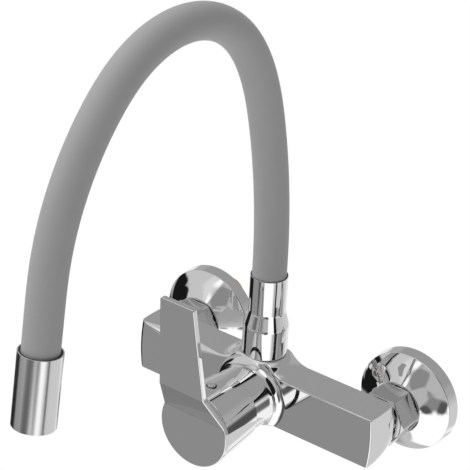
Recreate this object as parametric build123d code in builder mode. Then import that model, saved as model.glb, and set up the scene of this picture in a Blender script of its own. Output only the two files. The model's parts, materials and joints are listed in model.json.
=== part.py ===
"""Wall-mounted single-lever kitchen faucet with a flexible spout.

Millimetres. The wall is the plane Y = 0 and the room is on the -Y side, +Z is up. The origin lies on the
wall, midway between the two supply threads. Distances called "out" are measured from the wall into the room.
"""
import os
from math import atan2, cos, hypot, pi, radians, sin, sqrt, tan

from build123d import *

# Supply connections
INLET_SPACING = 150.0  # standard distance between the two wall inlets
ECCENTRIC = 8.0  # drop from the wall threads to the faucet's inlet axis
WALL_THREAD_D = 20.955  # G 1/2
WALL_THREAD_LENGTH = 16.0
FAUCET_THREAD_D = 26.441  # G 3/4
UNION_BODY_LENGTH = 9.0  # sloping stretch between the two threads
UNION_THREAD_LENGTH = 18.0
UNION_COLLAR = 2.0  # wall of the union around each thread at the sloping stretch
UNION_BORE = 14.0
HEX_SIDES = 6
NUT_FLATS = 30.0  # across flats
NUT_LENGTH = 18.2
NUT_LIP = 4.6  # inner lip that pulls on the tail's collar
NUT_CHAMFER = 1.2
TAIL_D = 16.662  # G 3/8
TAIL_BORE = 10.5
TAIL_COLLAR_D = 24.8
TAIL_COLLAR = 3.0
TAIL_GRIP = 9.0  # length screwed into the casting
WASHER_THICK = 2.0
WASHER_BORE = 15.0

# Wall flanges
FLANGE_D = 64.0
FLANGE_RIM = 8.4  # rim against the wall
FLANGE_TAPER = 0.6  # the rim's radius shrinks by this towards the room
FLANGE_DEPTH = 18.0
FLANGE_COLLAR_D = 33.2  # flat front round the thread
FLANGE_STEEP = 40.0  # slope of the bell at its rim and at its collar, in degrees
FLANGE_WALL = 1.2

# Body casting
BAR_MARGIN = 10.5  # bar beyond each inlet axis, to the corners of its ends
BAR_HEIGHT = 33.2
BAR_DEPTH = 23.7
BAR_SET_OFF = 39.3  # bar's back face, out from the wall
BAR_END_R = 110.0  # radius of the slightly domed ends
UNDERSIDE_RISE = 8.6  # the underside rises from the front edge to the back
UNDERSIDE_BELLY = 1.6  # bulge of the underside's arc
BACK_LEAN = 1.5  # the back face leans towards the wall at its foot
BAR_EDGE_R = 0.8
INLET_BOSS_D = 20.6
INLET_BOSS_LENGTH = 2.3
WATERWAY_D = 9.0
PORT_D = 6.5
PORT_SPREAD = 15.0  # between the hot and the cold port of the cartridge
PORT_DROP = 6.0  # below the cartridge axis
OUTLET_RISE = 4.5  # outlet port above the cartridge axis

# Cartridge housing and spout boss of the casting
HOUSING_WALL = 1.3  # around the retaining nut's thread
HOUSING_FLARE_R = 6.0  # concave flare where the housing meets the bar's front
HOUSING_BACK_R = 11.0  # rounded back of the housing inside the bar
CHAMBER_D = 35.1  # for a 35 mm cartridge
CHAMBER_MOUTH_D = 37.0  # thread of the retaining nut
FLOOR_WALL = 1.0  # between the spout hole and the chamber floor
BOSS_D = 28.0
BOSS_HEIGHT = 24.0  # top of the boss above the inlet axis
SADDLE_R = 16.0  # concave sweep from the bar's top up to the boss

# Cartridge
CARTRIDGE_D = 35.0
SHELL_WALL = 1.5
SHELL_TOP = 2.5
BASE_THICK = 2.0
CERAMIC_THICK = 2.8
FIXED_CERAMIC_D = 28.0
MOVING_CERAMIC_D = 23.0
CARRIER_D = 22.0
CARRIER_THICK = 5.0
TURRET_FLANGE_D = 31.0
TURRET_FLANGE = 3.9
TURRET_NECK_D = 23.0
TURRET_NECK_OUT = 6.0  # neck beyond the shell
PIVOT_BACK = 1.0  # pivot pin behind the shell's outer face
PIN_D = 3.0
PIN_INSET = 0.7  # pin's ends inside the turret's neck
RETAINER_THICK = 3.6
RETAINER_BORE = 26.0
RETAINER_NOTCH = 4.0
RETAINER_NOTCHES = 6
SEAL_D = 9.5
SEAL_THICK = 1.0
MIXING_POCKET_SPAN = 8.0

# Stem and lever
STEM_SIDE = 8.0
STEM_ARM_D = 4.0
STEM_BALL_D = 5.0
STEM_HEEL = 3.0  # square stretch behind the pivot
STEM_ARM = 8.0  # pivot to the centre of the ball
STEM_GRIP = 12.0  # length held by the lever
HUB_WEB = 5.0  # between the stem's end and the disc
LIFT_ANGLE = 25.0  # full opening
HUB_LENGTH = 30.2
SKIRT_WALL = 1.1
LEVER_DISC_D = 47.4
PLATE_THICK = 3.5
WAIST_Z = 9.2  # the disc ends and the sloping stretch starts, above the cartridge axis
BLADE_FOOT_Z = 31.8  # the sloping stretch ends and the blade starts
BLADE_TOP_Z = 92.7
BLADE_FOOT_WIDTH = 31.8
BLADE_TOP_WIDTH = 23.5
SLOPE_ANGLE = 30.5  # forward lean of the sloping stretch
BLADE_ANGLE = 7.3  # forward lean of the blade
BEND_R = 4.0
GRIP_D = 18.0  # boss inside the hub that holds the stem
GRUB_D = 5.0
GRUB_LENGTH = 5.0
SCREW_KEY = 2.5  # hexagon key of both set screws, across flats
GRUB_OUT = 18.0  # set screw, out from the hub's rim
PLUG_D = 6.4
PLUG_HEAD = 1.0
PLUG_SINK = 0.5  # spot face under the plug's head

# Spout
SPOUT_REACH = 250.0  # top of the nozzle, out from the wall
SPOUT_HEIGHT = 269.0  # top of the arch above the inlet axis
TAIL_HOLE_DEPTH = 23.0
SPIGOT_D = 17.0
SPIGOT_DEPTH = 17.0  # spout tail below the boss
SPIGOT_BORE = 8.4
O_RING_WIRE = 2.4
O_RING_UPPER = 4.0  # below the boss top
O_RING_LOWER = 15.0
GROOVE_WIDTH = 5.6  # groove that the retaining screw enters
GROOVE_DEPTH = 1.3
GROOVE_DROP = 9.5  # groove's middle below the boss top
RETAINING_SCREW_D = 5.0
SLIP_RING_THICK = 0.5
SOCKET_D = 27.4
SOCKET_TOP_D = 22.5
SOCKET_NECK_LOW = 18.7  # above the socket's base
SOCKET_NECK_HIGH = 27.7
SOCKET_HEIGHT = 51.2
SOCKET_GRIP = 25.0  # hose length inside the socket
HOSE_D = 20.5
HOSE_BORE = 16.2
CORE_D = 15.9
CORE_BORE = 13.0
TUBE_D = 12.6
TUBE_BORE = 9.0
RISE_LENGTH = 1.0  # straight stretch above the socket
RISE_TURN = 16.5  # the hose bends four times from the socket to the nozzle, in degrees
CREST_TURN = 16.5
ARCH_TURN = 99.5
FALL_TURN = 41.0
CREST_R = 127.0
FALL_R = 150.0
DROP_LENGTH = 33.5  # straight end of the hose above the nozzle
FITTING_FLANGE = 5.0
FITTING_FLANGE_D = 18.6
FITTING_STUB_D = 13.8
FITTING_STUB = 8.0
FITTING_SPIGOT = 15.0
FITTING_BORE = 6.0
NOZZLE_D = 24.4
NOZZLE_LENGTH = 42.4
NOZZLE_GRIP = 13.0  # hose length inside the nozzle
NOZZLE_OUTLET_D = 21.8
NOZZLE_LIP = 1.0
AERATOR_D = 21.6
AERATOR_LENGTH = 9.0
AERATOR_HOLE_D = 2.6
AERATOR_PITCH = 3.6
AERATOR_RINGS = 2
AERATOR_RECESS = 1.2
AERATOR_WASHER = 1.6
AERATOR_WASHER_BORE = 13.0

# Clearances
THREAD_GAP = 0.1  # between threads drawn as plain cylinders
SEAT_GAP = 0.3  # between bodies that turn past each other
RUNNING_GAP = 0.05  # radial, on pins and spindles
FILM_GAP = 0.05  # between the two lapped ceramic faces
POCKET_GAP = 0.3  # around the stem's ball
PIN_GRIP_GAP = 0.02  # press fit of the pin, drawn with a hair of room

# Stations worked out from the sizes above
axis_z = -ECCENTRIC
inlet_x = INLET_SPACING / 2
union_end = UNION_BODY_LENGTH + UNION_THREAD_LENGTH
washer_out = union_end + WASHER_THICK
collar_out = washer_out + TAIL_COLLAR
nut_out = collar_out + NUT_LIP
nut_back = nut_out - NUT_LENGTH
bar_back = BAR_SET_OFF
bar_front = bar_back + BAR_DEPTH
bar_half = BAR_HEIGHT / 2
bar_reach = inlet_x + BAR_MARGIN
spout_out = bar_back + BAR_DEPTH / 2
tail_hole_r = SPIGOT_D / 2 + RUNNING_GAP
chamber_floor = spout_out + tail_hole_r + FLOOR_WALL
base_out = chamber_floor + BASE_THICK
fixed_out = base_out + CERAMIC_THICK
moving_in = fixed_out + FILM_GAP
moving_out = moving_in + CERAMIC_THICK
carrier_out = moving_out + CARRIER_THICK
turret_in = carrier_out + SEAT_GAP
turret_flange_out = turret_in + TURRET_FLANGE
shell_in = turret_flange_out + SEAT_GAP / 2
shell_out = shell_in + SHELL_TOP
neck_out = shell_out + TURRET_NECK_OUT
pivot_out = shell_out - PIVOT_BACK
ball_out = pivot_out - STEM_ARM
seam_out = shell_out + RETAINER_THICK + SEAT_GAP
hub_in = seam_out + SEAT_GAP
plate_back = hub_in + HUB_LENGTH
plate_front = plate_back + PLATE_THICK
grip_out = plate_back - HUB_WEB
grub_out = hub_in + GRUB_OUT
boss_top = axis_z + BOSS_HEIGHT
socket_base = boss_top + SLIP_RING_THICK + SEAT_GAP / 2
socket_top = socket_base + SOCKET_HEIGHT
hose_foot = socket_top - SOCKET_GRIP
groove_z = boss_top - GROOVE_DROP
port_places = (
    (-PORT_SPREAD / 2, -PORT_DROP),
    (PORT_SPREAD / 2, -PORT_DROP),
    (0, OUTLET_RISE),
)


def face_on(x, out, z):
    """Plane square to the wall's normal, facing the room: local X to the right, local Y up."""
    return Plane(origin=(x, -out, z), x_dir=(1, 0, 0), z_dir=(0, -1, 0))


def beside(x, z):
    """Plane through a line square to the wall: local X away from that line, local Y out from the wall."""
    return Plane(origin=(x, 0, z), x_dir=(1, 0, 0), z_dir=(0, 0, -1))


def line_out(x, z):
    """Axis square to the wall."""
    return Axis((x, 0, z), (0, 1, 0))


side_view = Plane(origin=(0, 0, axis_z), x_dir=(0, -1, 0), z_dir=(-1, 0, 0))
spout_profile = Plane(origin=(0, -spout_out, 0), x_dir=(1, 0, 0), z_dir=(0, -1, 0))
spout_axis = Axis((0, -spout_out, 0), (0, 0, 1))
lever_plane = beside(0, axis_z)
lever_axis = line_out(0, axis_z)

os.makedirs("parts", exist_ok=True)


def finish(piece, label):
    """Label a finished piece and write it to its file."""
    piece.part.label = label
    export_step(piece.part, f"parts/{label}.step")


# Supply side, once for each inlet
for side, x in (("left", -inlet_x), ("right", inlet_x)):
    with BuildPart() as s_union:
        with BuildSketch(face_on(x, -WALL_THREAD_LENGTH, 0)):
            Circle(WALL_THREAD_D / 2)
        extrude(amount=WALL_THREAD_LENGTH)
        with BuildSketch(face_on(x, 0, 0)):
            Circle(WALL_THREAD_D / 2 + UNION_COLLAR)
        with BuildSketch(face_on(x, UNION_BODY_LENGTH, axis_z)):
            Circle(FAUCET_THREAD_D / 2 + UNION_COLLAR)
        loft()
        with BuildSketch(face_on(x, UNION_BODY_LENGTH, axis_z)):
            Circle(FAUCET_THREAD_D / 2)
        extrude(amount=UNION_THREAD_LENGTH)
        with BuildSketch(face_on(x, -WALL_THREAD_LENGTH, 0)):
            Circle(UNION_BORE / 2)
        extrude(amount=WALL_THREAD_LENGTH, mode=Mode.SUBTRACT)
        with BuildSketch(face_on(x, 0, 0)):
            Circle(UNION_BORE / 2)
        with BuildSketch(face_on(x, UNION_BODY_LENGTH, axis_z)):
            Circle(UNION_BORE / 2)
        loft(mode=Mode.SUBTRACT)
        with BuildSketch(face_on(x, UNION_BODY_LENGTH, axis_z)):
            Circle(UNION_BORE / 2)
        extrude(amount=UNION_THREAD_LENGTH, mode=Mode.SUBTRACT)
    finish(s_union, f"s_union_{side}")

    # Pressed bell with an open back, held on the union's thread: a convex arc, then a concave one
    flange_r = FLANGE_D / 2
    flange_hole = FAUCET_THREAD_D / 2 + THREAD_GAP
    bell_r, collar_r = flange_r - FLANGE_TAPER, FLANGE_COLLAR_D / 2
    middle_r, middle_out = (bell_r + collar_r) / 2, (FLANGE_RIM + FLANGE_DEPTH) / 2
    bell_lean = atan2(FLANGE_DEPTH - FLANGE_RIM, bell_r - collar_r)
    steep = radians(FLANGE_STEEP)
    arc_r = hypot(bell_r - collar_r, FLANGE_DEPTH - FLANGE_RIM) / 4 / sin(steep - bell_lean)
    sunk = FLANGE_WALL / cos(bell_lean)  # wall measured along the axis
    inner_r = bell_r - FLANGE_WALL
    arc_side = inner_r - bell_r + arc_r * sin(steep)
    inner_out = FLANGE_RIM - sunk - arc_r * cos(steep) + sqrt(arc_r**2 - arc_side**2)
    with BuildPart() as flange:
        with BuildSketch(beside(x, axis_z)):
            with BuildLine():
                Line((flange_r, 0), (bell_r, FLANGE_RIM))
                RadiusArc((bell_r, FLANGE_RIM), (middle_r, middle_out), -arc_r)
                RadiusArc((middle_r, middle_out), (collar_r, FLANGE_DEPTH), arc_r)
                Line((collar_r, FLANGE_DEPTH), (flange_hole, FLANGE_DEPTH))
                Line((flange_hole, FLANGE_DEPTH), (flange_hole, FLANGE_DEPTH - sunk))
                Line((flange_hole, FLANGE_DEPTH - sunk), (collar_r, FLANGE_DEPTH - sunk))
                RadiusArc((collar_r, FLANGE_DEPTH - sunk), (middle_r, middle_out - sunk), -arc_r)
                RadiusArc((middle_r, middle_out - sunk), (inner_r, inner_out), arc_r)
                Line((inner_r, inner_out), (inner_r, 0))
                Line((inner_r, 0), (flange_r, 0))
            make_face()
        revolve(axis=line_out(x, axis_z))
    finish(flange, f"flange_{side}")

    # Loose nut that draws the tail's collar onto the union
    nut_corner = NUT_FLATS / 2 / cos(pi / HEX_SIDES)
    with BuildPart() as union_nut:
        with BuildSketch(face_on(x, nut_back, axis_z)):
            RegularPolygon(NUT_FLATS / 2, HEX_SIDES, major_radius=False)
        extrude(amount=NUT_LENGTH)
        with BuildSketch(beside(x, axis_z)):
            with BuildLine():
                Polyline(
                    (0, nut_back),
                    (NUT_FLATS / 2, nut_back),
                    (nut_corner, nut_back + NUT_CHAMFER),
                    (nut_corner, nut_out - NUT_CHAMFER),
                    (NUT_FLATS / 2, nut_out),
                    (0, nut_out),
                    close=True,
                )
            make_face()
        revolve(axis=line_out(x, axis_z), mode=Mode.INTERSECT)
        with BuildSketch(face_on(x, nut_back, axis_z)):
            Circle(FAUCET_THREAD_D / 2 + THREAD_GAP)
        extrude(amount=collar_out - nut_back, mode=Mode.SUBTRACT)
        with BuildSketch(face_on(x, collar_out, axis_z)):
            Circle(TAIL_D / 2 + THREAD_GAP)
        extrude(amount=NUT_LIP, mode=Mode.SUBTRACT)
    finish(union_nut, f"union_nut_{side}")

    with BuildPart() as inlet_tail:
        with BuildSketch(face_on(x, washer_out, axis_z)):
            Circle(TAIL_COLLAR_D / 2)
        extrude(amount=TAIL_COLLAR)
        with BuildSketch(face_on(x, collar_out, axis_z)):
            Circle(TAIL_D / 2)
        extrude(amount=bar_back + TAIL_GRIP - collar_out)
        with BuildSketch(face_on(x, washer_out, axis_z)):
            Circle(TAIL_BORE / 2)
        extrude(amount=bar_back + TAIL_GRIP - washer_out, mode=Mode.SUBTRACT)
    finish(inlet_tail, f"inlet_tail_{side}")

    with BuildPart() as inlet_washer:
        with BuildSketch(face_on(x, union_end, axis_z)):
            Circle(TAIL_COLLAR_D / 2)
            Circle(WASHER_BORE / 2, mode=Mode.SUBTRACT)
        extrude(amount=WASHER_THICK)
    finish(inlet_washer, f"inlet_washer_{side}")

# Body casting: bar with its saddle, spout boss and cartridge housing
housing_r = CHAMBER_MOUTH_D / 2 + HOUSING_WALL
flare_r = housing_r + HOUSING_FLARE_R
boss_r = BOSS_D / 2
saddle_rise = BOSS_HEIGHT - bar_half
saddle_run = sqrt(SADDLE_R**2 - (SADDLE_R - saddle_rise) ** 2)
underside_back = -bar_half + UNDERSIDE_RISE
end_crown = BAR_END_R - sqrt(BAR_END_R**2 - bar_half**2 - (BAR_DEPTH / 2) ** 2)
bar_tip = bar_reach + end_crown
dome_r = BAR_HEIGHT + BOSS_HEIGHT
dome_edge = bar_tip - BAR_END_R + sqrt(BAR_END_R**2 - dome_r**2)
bar_middle = Plane(origin=(0, -spout_out, axis_z), x_dir=(1, 0, 0), z_dir=(0, -1, 0))

with BuildSketch(face_on(0, bar_back - BACK_LEAN, axis_z)) as bar_front_view:
    with BuildLine():
        Line((-bar_tip, -bar_half), (bar_tip, -bar_half))
        Line((bar_tip, -bar_half), (bar_tip, bar_half))
        Line((bar_tip, bar_half), (boss_r + saddle_run, bar_half))
        RadiusArc((boss_r + saddle_run, bar_half), (boss_r, BOSS_HEIGHT), SADDLE_R)
        Line((boss_r, BOSS_HEIGHT), (-boss_r, BOSS_HEIGHT))
        RadiusArc((-boss_r, BOSS_HEIGHT), (-boss_r - saddle_run, bar_half), SADDLE_R)
        Line((-boss_r - saddle_run, bar_half), (-bar_tip, bar_half))
        Line((-bar_tip, bar_half), (-bar_tip, -bar_half))
    make_face()

# Concave flare around the housing, only as tall as the bar
with BuildPart() as housing_flare:
    with BuildSketch(lever_plane):
        with BuildLine():
            Line((0, bar_front), (flare_r, bar_front))
            RadiusArc((flare_r, bar_front), (housing_r, bar_front + HOUSING_FLARE_R), HOUSING_FLARE_R)
            Line((housing_r, bar_front + HOUSING_FLARE_R), (0, bar_front + HOUSING_FLARE_R))
            Line((0, bar_front + HOUSING_FLARE_R), (0, bar_front))
        make_face()
    revolve(axis=lever_axis)
    extrude(bar_front_view.sketch, amount=2 * bar_front, mode=Mode.INTERSECT)

with BuildPart() as body_casting:
    extrude(bar_front_view.sketch, amount=BAR_DEPTH + BACK_LEAN)
    with BuildSketch(side_view):
        with BuildLine():
            Polyline(
                (bar_back - BACK_LEAN, underside_back),
                (bar_back, bar_half),
                (bar_back, BOSS_HEIGHT),
                (bar_front, BOSS_HEIGHT),
                (bar_front, -bar_half),
            )
            SagittaArc((bar_front, -bar_half), (bar_back - BACK_LEAN, underside_back), -UNDERSIDE_BELLY)
        make_face()
    extrude(amount=bar_tip, both=True, mode=Mode.INTERSECT)
    # Slightly domed ends
    with BuildSketch(bar_middle):
        with BuildLine():
            Line((-bar_tip, 0), (bar_tip, 0))
            RadiusArc((bar_tip, 0), (dome_edge, dome_r), -BAR_END_R)
            Line((dome_edge, dome_r), (-dome_edge, dome_r))
            RadiusArc((-dome_edge, dome_r), (-bar_tip, 0), -BAR_END_R)
        make_face()
    revolve(axis=Axis((0, -spout_out, axis_z), (1, 0, 0)), mode=Mode.INTERSECT)
    fillet(body_casting.faces().sort_by(Axis.Y)[0].edges(), radius=BAR_EDGE_R)
    # Trumpet-shaped boss under the spout
    with BuildSketch(spout_profile):
        with BuildLine():
            Line((0, axis_z), (BAR_DEPTH / 2, axis_z))
            Line((BAR_DEPTH / 2, axis_z), (BAR_DEPTH / 2, axis_z + bar_half / 2))
            TangentArc(
                (BAR_DEPTH / 2, axis_z + bar_half / 2),
                (boss_r, boss_top),
                tangent=(0, 1),
            )
            Line((boss_r, boss_top), (0, boss_top))
            Line((0, boss_top), (0, axis_z))
        make_face()
    revolve(axis=spout_axis)
    # Cartridge housing with a rounded back
    with BuildSketch(lever_plane):
        with BuildLine():
            Line((0, seam_out), (housing_r, seam_out))
            Line((housing_r, seam_out), (housing_r, spout_out))
            RadiusArc(
                (housing_r, spout_out),
                (housing_r - HOUSING_BACK_R, spout_out - HOUSING_BACK_R),
                HOUSING_BACK_R,
            )
            Line((housing_r - HOUSING_BACK_R, spout_out - HOUSING_BACK_R), (0, spout_out - HOUSING_BACK_R))
            Line((0, spout_out - HOUSING_BACK_R), (0, seam_out))
        make_face()
    revolve(axis=lever_axis)
    add(housing_flare.part)
    # Cartridge chamber and the thread of its retaining nut
    with BuildSketch(face_on(0, chamber_floor, axis_z)):
        Circle(CHAMBER_D / 2)
    extrude(amount=seam_out - chamber_floor, mode=Mode.SUBTRACT)
    with BuildSketch(face_on(0, shell_out, axis_z)):
        Circle(CHAMBER_MOUTH_D / 2)
    extrude(amount=seam_out - shell_out, mode=Mode.SUBTRACT)
    # Hole for the spout's tail, and its outlet port
    with BuildSketch(Plane.XY.offset(boss_top)):
        with Locations((0, -spout_out)):
            Circle(tail_hole_r)
    extrude(amount=-TAIL_HOLE_DEPTH, mode=Mode.SUBTRACT)
    with BuildSketch(face_on(0, spout_out, axis_z)):
        with Locations(*port_places):
            Circle(PORT_D / 2)
    extrude(amount=chamber_floor - spout_out, mode=Mode.SUBTRACT)
    # Inlet bosses, tail threads and the ways from them to the ports
    with BuildSketch(face_on(0, bar_back - INLET_BOSS_LENGTH, axis_z)):
        with Locations((-inlet_x, 0), (inlet_x, 0)):
            Circle(INLET_BOSS_D / 2)
    extrude(amount=INLET_BOSS_LENGTH + TAIL_GRIP)
    with BuildSketch(face_on(0, bar_back - INLET_BOSS_LENGTH, axis_z)):
        with Locations((-inlet_x, 0), (inlet_x, 0)):
            Circle(TAIL_D / 2 + THREAD_GAP)
    extrude(amount=INLET_BOSS_LENGTH + TAIL_GRIP, mode=Mode.SUBTRACT)
    with BuildSketch(face_on(0, bar_back + TAIL_GRIP, axis_z)):
        with Locations((-inlet_x, 0), (inlet_x, 0)):
            Circle(TAIL_BORE / 2)
    extrude(amount=spout_out - bar_back - TAIL_GRIP, mode=Mode.SUBTRACT)
    for way_side in (-1, 1):
        way_start = (way_side * inlet_x, -spout_out, axis_z - PORT_DROP)
        with BuildSketch(Plane(origin=way_start, z_dir=(-way_side, 0, 0))):
            Circle(WATERWAY_D / 2)
        extrude(amount=inlet_x - PORT_SPREAD / 2, mode=Mode.SUBTRACT)
    # Tapped hole of the spout's retaining screw
    with BuildSketch(face_on(0, bar_back - BOSS_D / 2, groove_z)):
        Circle(RETAINING_SCREW_D / 2 + THREAD_GAP)
    extrude(amount=spout_out - bar_back + BOSS_D / 2, mode=Mode.SUBTRACT)
finish(body_casting, "body_casting")

# Cartridge, from the chamber floor outwards
shell_bore = CARTRIDGE_D / 2 - SHELL_WALL
neck_r = TURRET_NECK_D / 2
with BuildPart() as cartridge_shell:
    with BuildSketch(face_on(0, chamber_floor, axis_z)):
        Circle(CARTRIDGE_D / 2)
    extrude(amount=shell_out - chamber_floor)
    with BuildSketch(face_on(0, chamber_floor, axis_z)):
        Circle(shell_bore)
    extrude(amount=shell_in - chamber_floor, mode=Mode.SUBTRACT)
    with BuildSketch(face_on(0, shell_in, axis_z)):
        Circle(neck_r + RUNNING_GAP)
    extrude(amount=SHELL_TOP, mode=Mode.SUBTRACT)
finish(cartridge_shell, "cartridge_shell")

with BuildPart() as cartridge_base:
    with BuildSketch(face_on(0, chamber_floor, axis_z)):
        Circle(shell_bore - THREAD_GAP)
        with Locations(*port_places):
            Circle(PORT_D / 2, mode=Mode.SUBTRACT)
    extrude(amount=BASE_THICK)
    with BuildSketch(face_on(0, chamber_floor, axis_z)):
        with Locations(*port_places):
            Circle(SEAL_D / 2)
    extrude(amount=SEAL_THICK, mode=Mode.SUBTRACT)
finish(cartridge_base, "cartridge_base")

with BuildPart() as port_seals:
    with BuildSketch(face_on(0, chamber_floor, axis_z)):
        with Locations(*port_places):
            Circle(SEAL_D / 2)
            Circle(PORT_D / 2, mode=Mode.SUBTRACT)
    extrude(amount=SEAL_THICK)
finish(port_seals, "port_seals")

with BuildPart() as fixed_disc:
    with BuildSketch(face_on(0, base_out, axis_z)):
        Circle(FIXED_CERAMIC_D / 2)
        with Locations(*port_places):
            Circle(PORT_D / 2, mode=Mode.SUBTRACT)
    extrude(amount=CERAMIC_THICK)
finish(fixed_disc, "fixed_disc")

# The mixing pocket joins the outlet to the inlets once the disc has moved up
with BuildPart() as moving_disc:
    with BuildSketch(face_on(0, moving_in, axis_z)):
        Circle(MOVING_CERAMIC_D / 2)
    extrude(amount=CERAMIC_THICK)
    with BuildSketch(face_on(0, moving_in, axis_z)):
        SlotCenterToCenter(MIXING_POCKET_SPAN, PORT_D)
    extrude(amount=CERAMIC_THICK / 2, mode=Mode.SUBTRACT)
finish(moving_disc, "moving_disc")

with BuildPart() as disc_carrier:
    with BuildSketch(face_on(0, moving_out, axis_z)):
        Circle(CARRIER_D / 2)
    extrude(amount=CARRIER_THICK)
    with BuildSketch(face_on(0, ball_out - STEM_BALL_D / 2 - POCKET_GAP / 2, axis_z)):
        Circle(STEM_BALL_D / 2 + POCKET_GAP)
    extrude(amount=CARRIER_THICK, mode=Mode.SUBTRACT)
finish(disc_carrier, "disc_carrier")

# Turret that turns with the lever and carries the pivot pin
lift = radians(LIFT_ANGLE)
slot_low = (neck_out - pivot_out) * tan(lift) + STEM_SIDE / 2 / cos(lift) + SEAT_GAP
slot_high = sqrt((STEM_SIDE / 2) ** 2 + STEM_HEEL**2) + SEAT_GAP
pivot_plane = Plane(origin=(0, -pivot_out, axis_z), x_dir=(0, 1, 0), z_dir=(1, 0, 0))
with BuildPart() as turret:
    with BuildSketch(face_on(0, turret_in, axis_z)):
        Circle(TURRET_FLANGE_D / 2)
    extrude(amount=TURRET_FLANGE)
    with BuildSketch(face_on(0, turret_flange_out, axis_z)):
        Circle(neck_r)
    extrude(amount=neck_out - turret_flange_out)
    with BuildSketch(face_on(0, turret_in, axis_z)):
        with Locations((0, (slot_high - slot_low) / 2)):
            Rectangle(STEM_SIDE + 2 * SEAT_GAP, slot_high + slot_low)
    extrude(amount=neck_out - turret_in, mode=Mode.SUBTRACT)
    with BuildSketch(pivot_plane):
        Circle(PIN_D / 2 + PIN_GRIP_GAP)
    extrude(amount=neck_r, both=True, mode=Mode.SUBTRACT)
finish(turret, "turret")

with BuildPart() as pivot_pin:
    with BuildSketch(pivot_plane):
        Circle(PIN_D / 2)
    extrude(amount=neck_r - PIN_INSET, both=True)
finish(pivot_pin, "pivot_pin")

with BuildPart() as stem:
    with BuildSketch(face_on(0, pivot_out - STEM_HEEL, axis_z)):
        Rectangle(STEM_SIDE, STEM_SIDE)
    extrude(amount=grip_out - SEAT_GAP - pivot_out + STEM_HEEL)
    with BuildSketch(face_on(0, ball_out, axis_z)):
        Circle(STEM_ARM_D / 2)
    extrude(amount=STEM_ARM - STEM_HEEL)
    with Locations((0, -ball_out, axis_z)):
        Sphere(STEM_BALL_D / 2)
    with BuildSketch(pivot_plane):
        Circle(PIN_D / 2 + RUNNING_GAP)
    extrude(amount=STEM_SIDE, both=True, mode=Mode.SUBTRACT)
finish(stem, "stem")

with BuildPart() as retaining_nut:
    with BuildSketch(face_on(0, shell_out, axis_z)):
        Circle(CHAMBER_MOUTH_D / 2 - THREAD_GAP)
        Circle(RETAINER_BORE / 2, mode=Mode.SUBTRACT)
    extrude(amount=RETAINER_THICK)
    with BuildSketch(face_on(0, shell_out + RETAINER_THICK / 2, axis_z)):
        with PolarLocations(RETAINER_BORE / 2, RETAINER_NOTCHES):
            Rectangle(RETAINER_NOTCH, RETAINER_NOTCH)
    extrude(amount=RETAINER_THICK / 2, mode=Mode.SUBTRACT)
finish(retaining_nut, "retaining_nut")

# Lever: hollow hub, round disc, sloping stretch and blade in one casting
disc_r = LEVER_DISC_D / 2
skirt_bore = housing_r + SEAT_GAP
skirt_r = skirt_bore + SKIRT_WALL
waist_x = sqrt(disc_r**2 - WAIST_Z**2)
foot_out = plate_front + (BLADE_FOOT_Z - WAIST_Z) * tan(radians(SLOPE_ANGLE))
tip_out = foot_out + (BLADE_TOP_Z - BLADE_FOOT_Z) * tan(radians(BLADE_ANGLE))
plug_r = skirt_r + (disc_r - skirt_r) * GRUB_OUT / HUB_LENGTH
plug_seat = axis_z + plug_r - PLUG_SINK
grub_place = Plane(origin=(0, -grub_out, axis_z))
with BuildPart() as lever:
    with BuildSketch(side_view):
        with BuildLine():
            FilletPolyline(
                (plate_front, -disc_r),
                (plate_front, WAIST_Z),
                (foot_out, BLADE_FOOT_Z),
                (tip_out, BLADE_TOP_Z),
                radius=BEND_R,
            )
            offset(amount=PLATE_THICK, side=Side.LEFT)
        make_face()
    extrude(amount=disc_r, both=True)
    with BuildSketch(face_on(0, 0, axis_z)):
        with BuildLine():
            ThreePointArc((waist_x, WAIST_Z), (0, -disc_r), (-waist_x, WAIST_Z))
            Polyline(
                (-waist_x, WAIST_Z),
                (-BLADE_FOOT_WIDTH / 2, BLADE_FOOT_Z),
                (-BLADE_TOP_WIDTH / 2, BLADE_TOP_Z),
                (BLADE_TOP_WIDTH / 2, BLADE_TOP_Z),
                (BLADE_FOOT_WIDTH / 2, BLADE_FOOT_Z),
                (waist_x, WAIST_Z),
            )
        make_face()
    extrude(amount=tip_out + PLATE_THICK, mode=Mode.INTERSECT)
    # Hollow hub behind the disc
    with BuildSketch(lever_plane):
        with BuildLine():
            Polyline(
                (skirt_bore, hub_in),
                (skirt_r, hub_in),
                (disc_r, plate_back),
                (0, plate_back),
                (0, grip_out),
                (skirt_bore, grip_out),
                close=True,
            )
        make_face()
    revolve(axis=lever_axis)
    # Grip for the stem, with the set screw's hole
    with BuildSketch(face_on(0, grip_out - STEM_GRIP, axis_z)):
        Circle(GRIP_D / 2)
        Rectangle(STEM_SIDE + 2 * THREAD_GAP, STEM_SIDE + 2 * THREAD_GAP, mode=Mode.SUBTRACT)
    extrude(amount=STEM_GRIP)
    with BuildSketch(grub_place):
        Circle(GRUB_D / 2 + THREAD_GAP)
    extrude(amount=disc_r, mode=Mode.SUBTRACT)
    with BuildSketch(grub_place.offset(plug_seat - axis_z)):
        Circle(PLUG_D / 2 + THREAD_GAP)
    extrude(amount=disc_r, mode=Mode.SUBTRACT)
finish(lever, "lever")

with BuildPart() as lever_screw:
    with BuildSketch(grub_place.offset(STEM_SIDE / 2)):
        Circle(GRUB_D / 2)
    extrude(amount=GRUB_LENGTH)
    with BuildSketch(grub_place.offset(STEM_SIDE / 2 + GRUB_LENGTH)):
        RegularPolygon(SCREW_KEY / 2, HEX_SIDES, major_radius=False)
    extrude(amount=-GRUB_LENGTH / 2, mode=Mode.SUBTRACT)
finish(lever_screw, "lever_screw")

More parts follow.
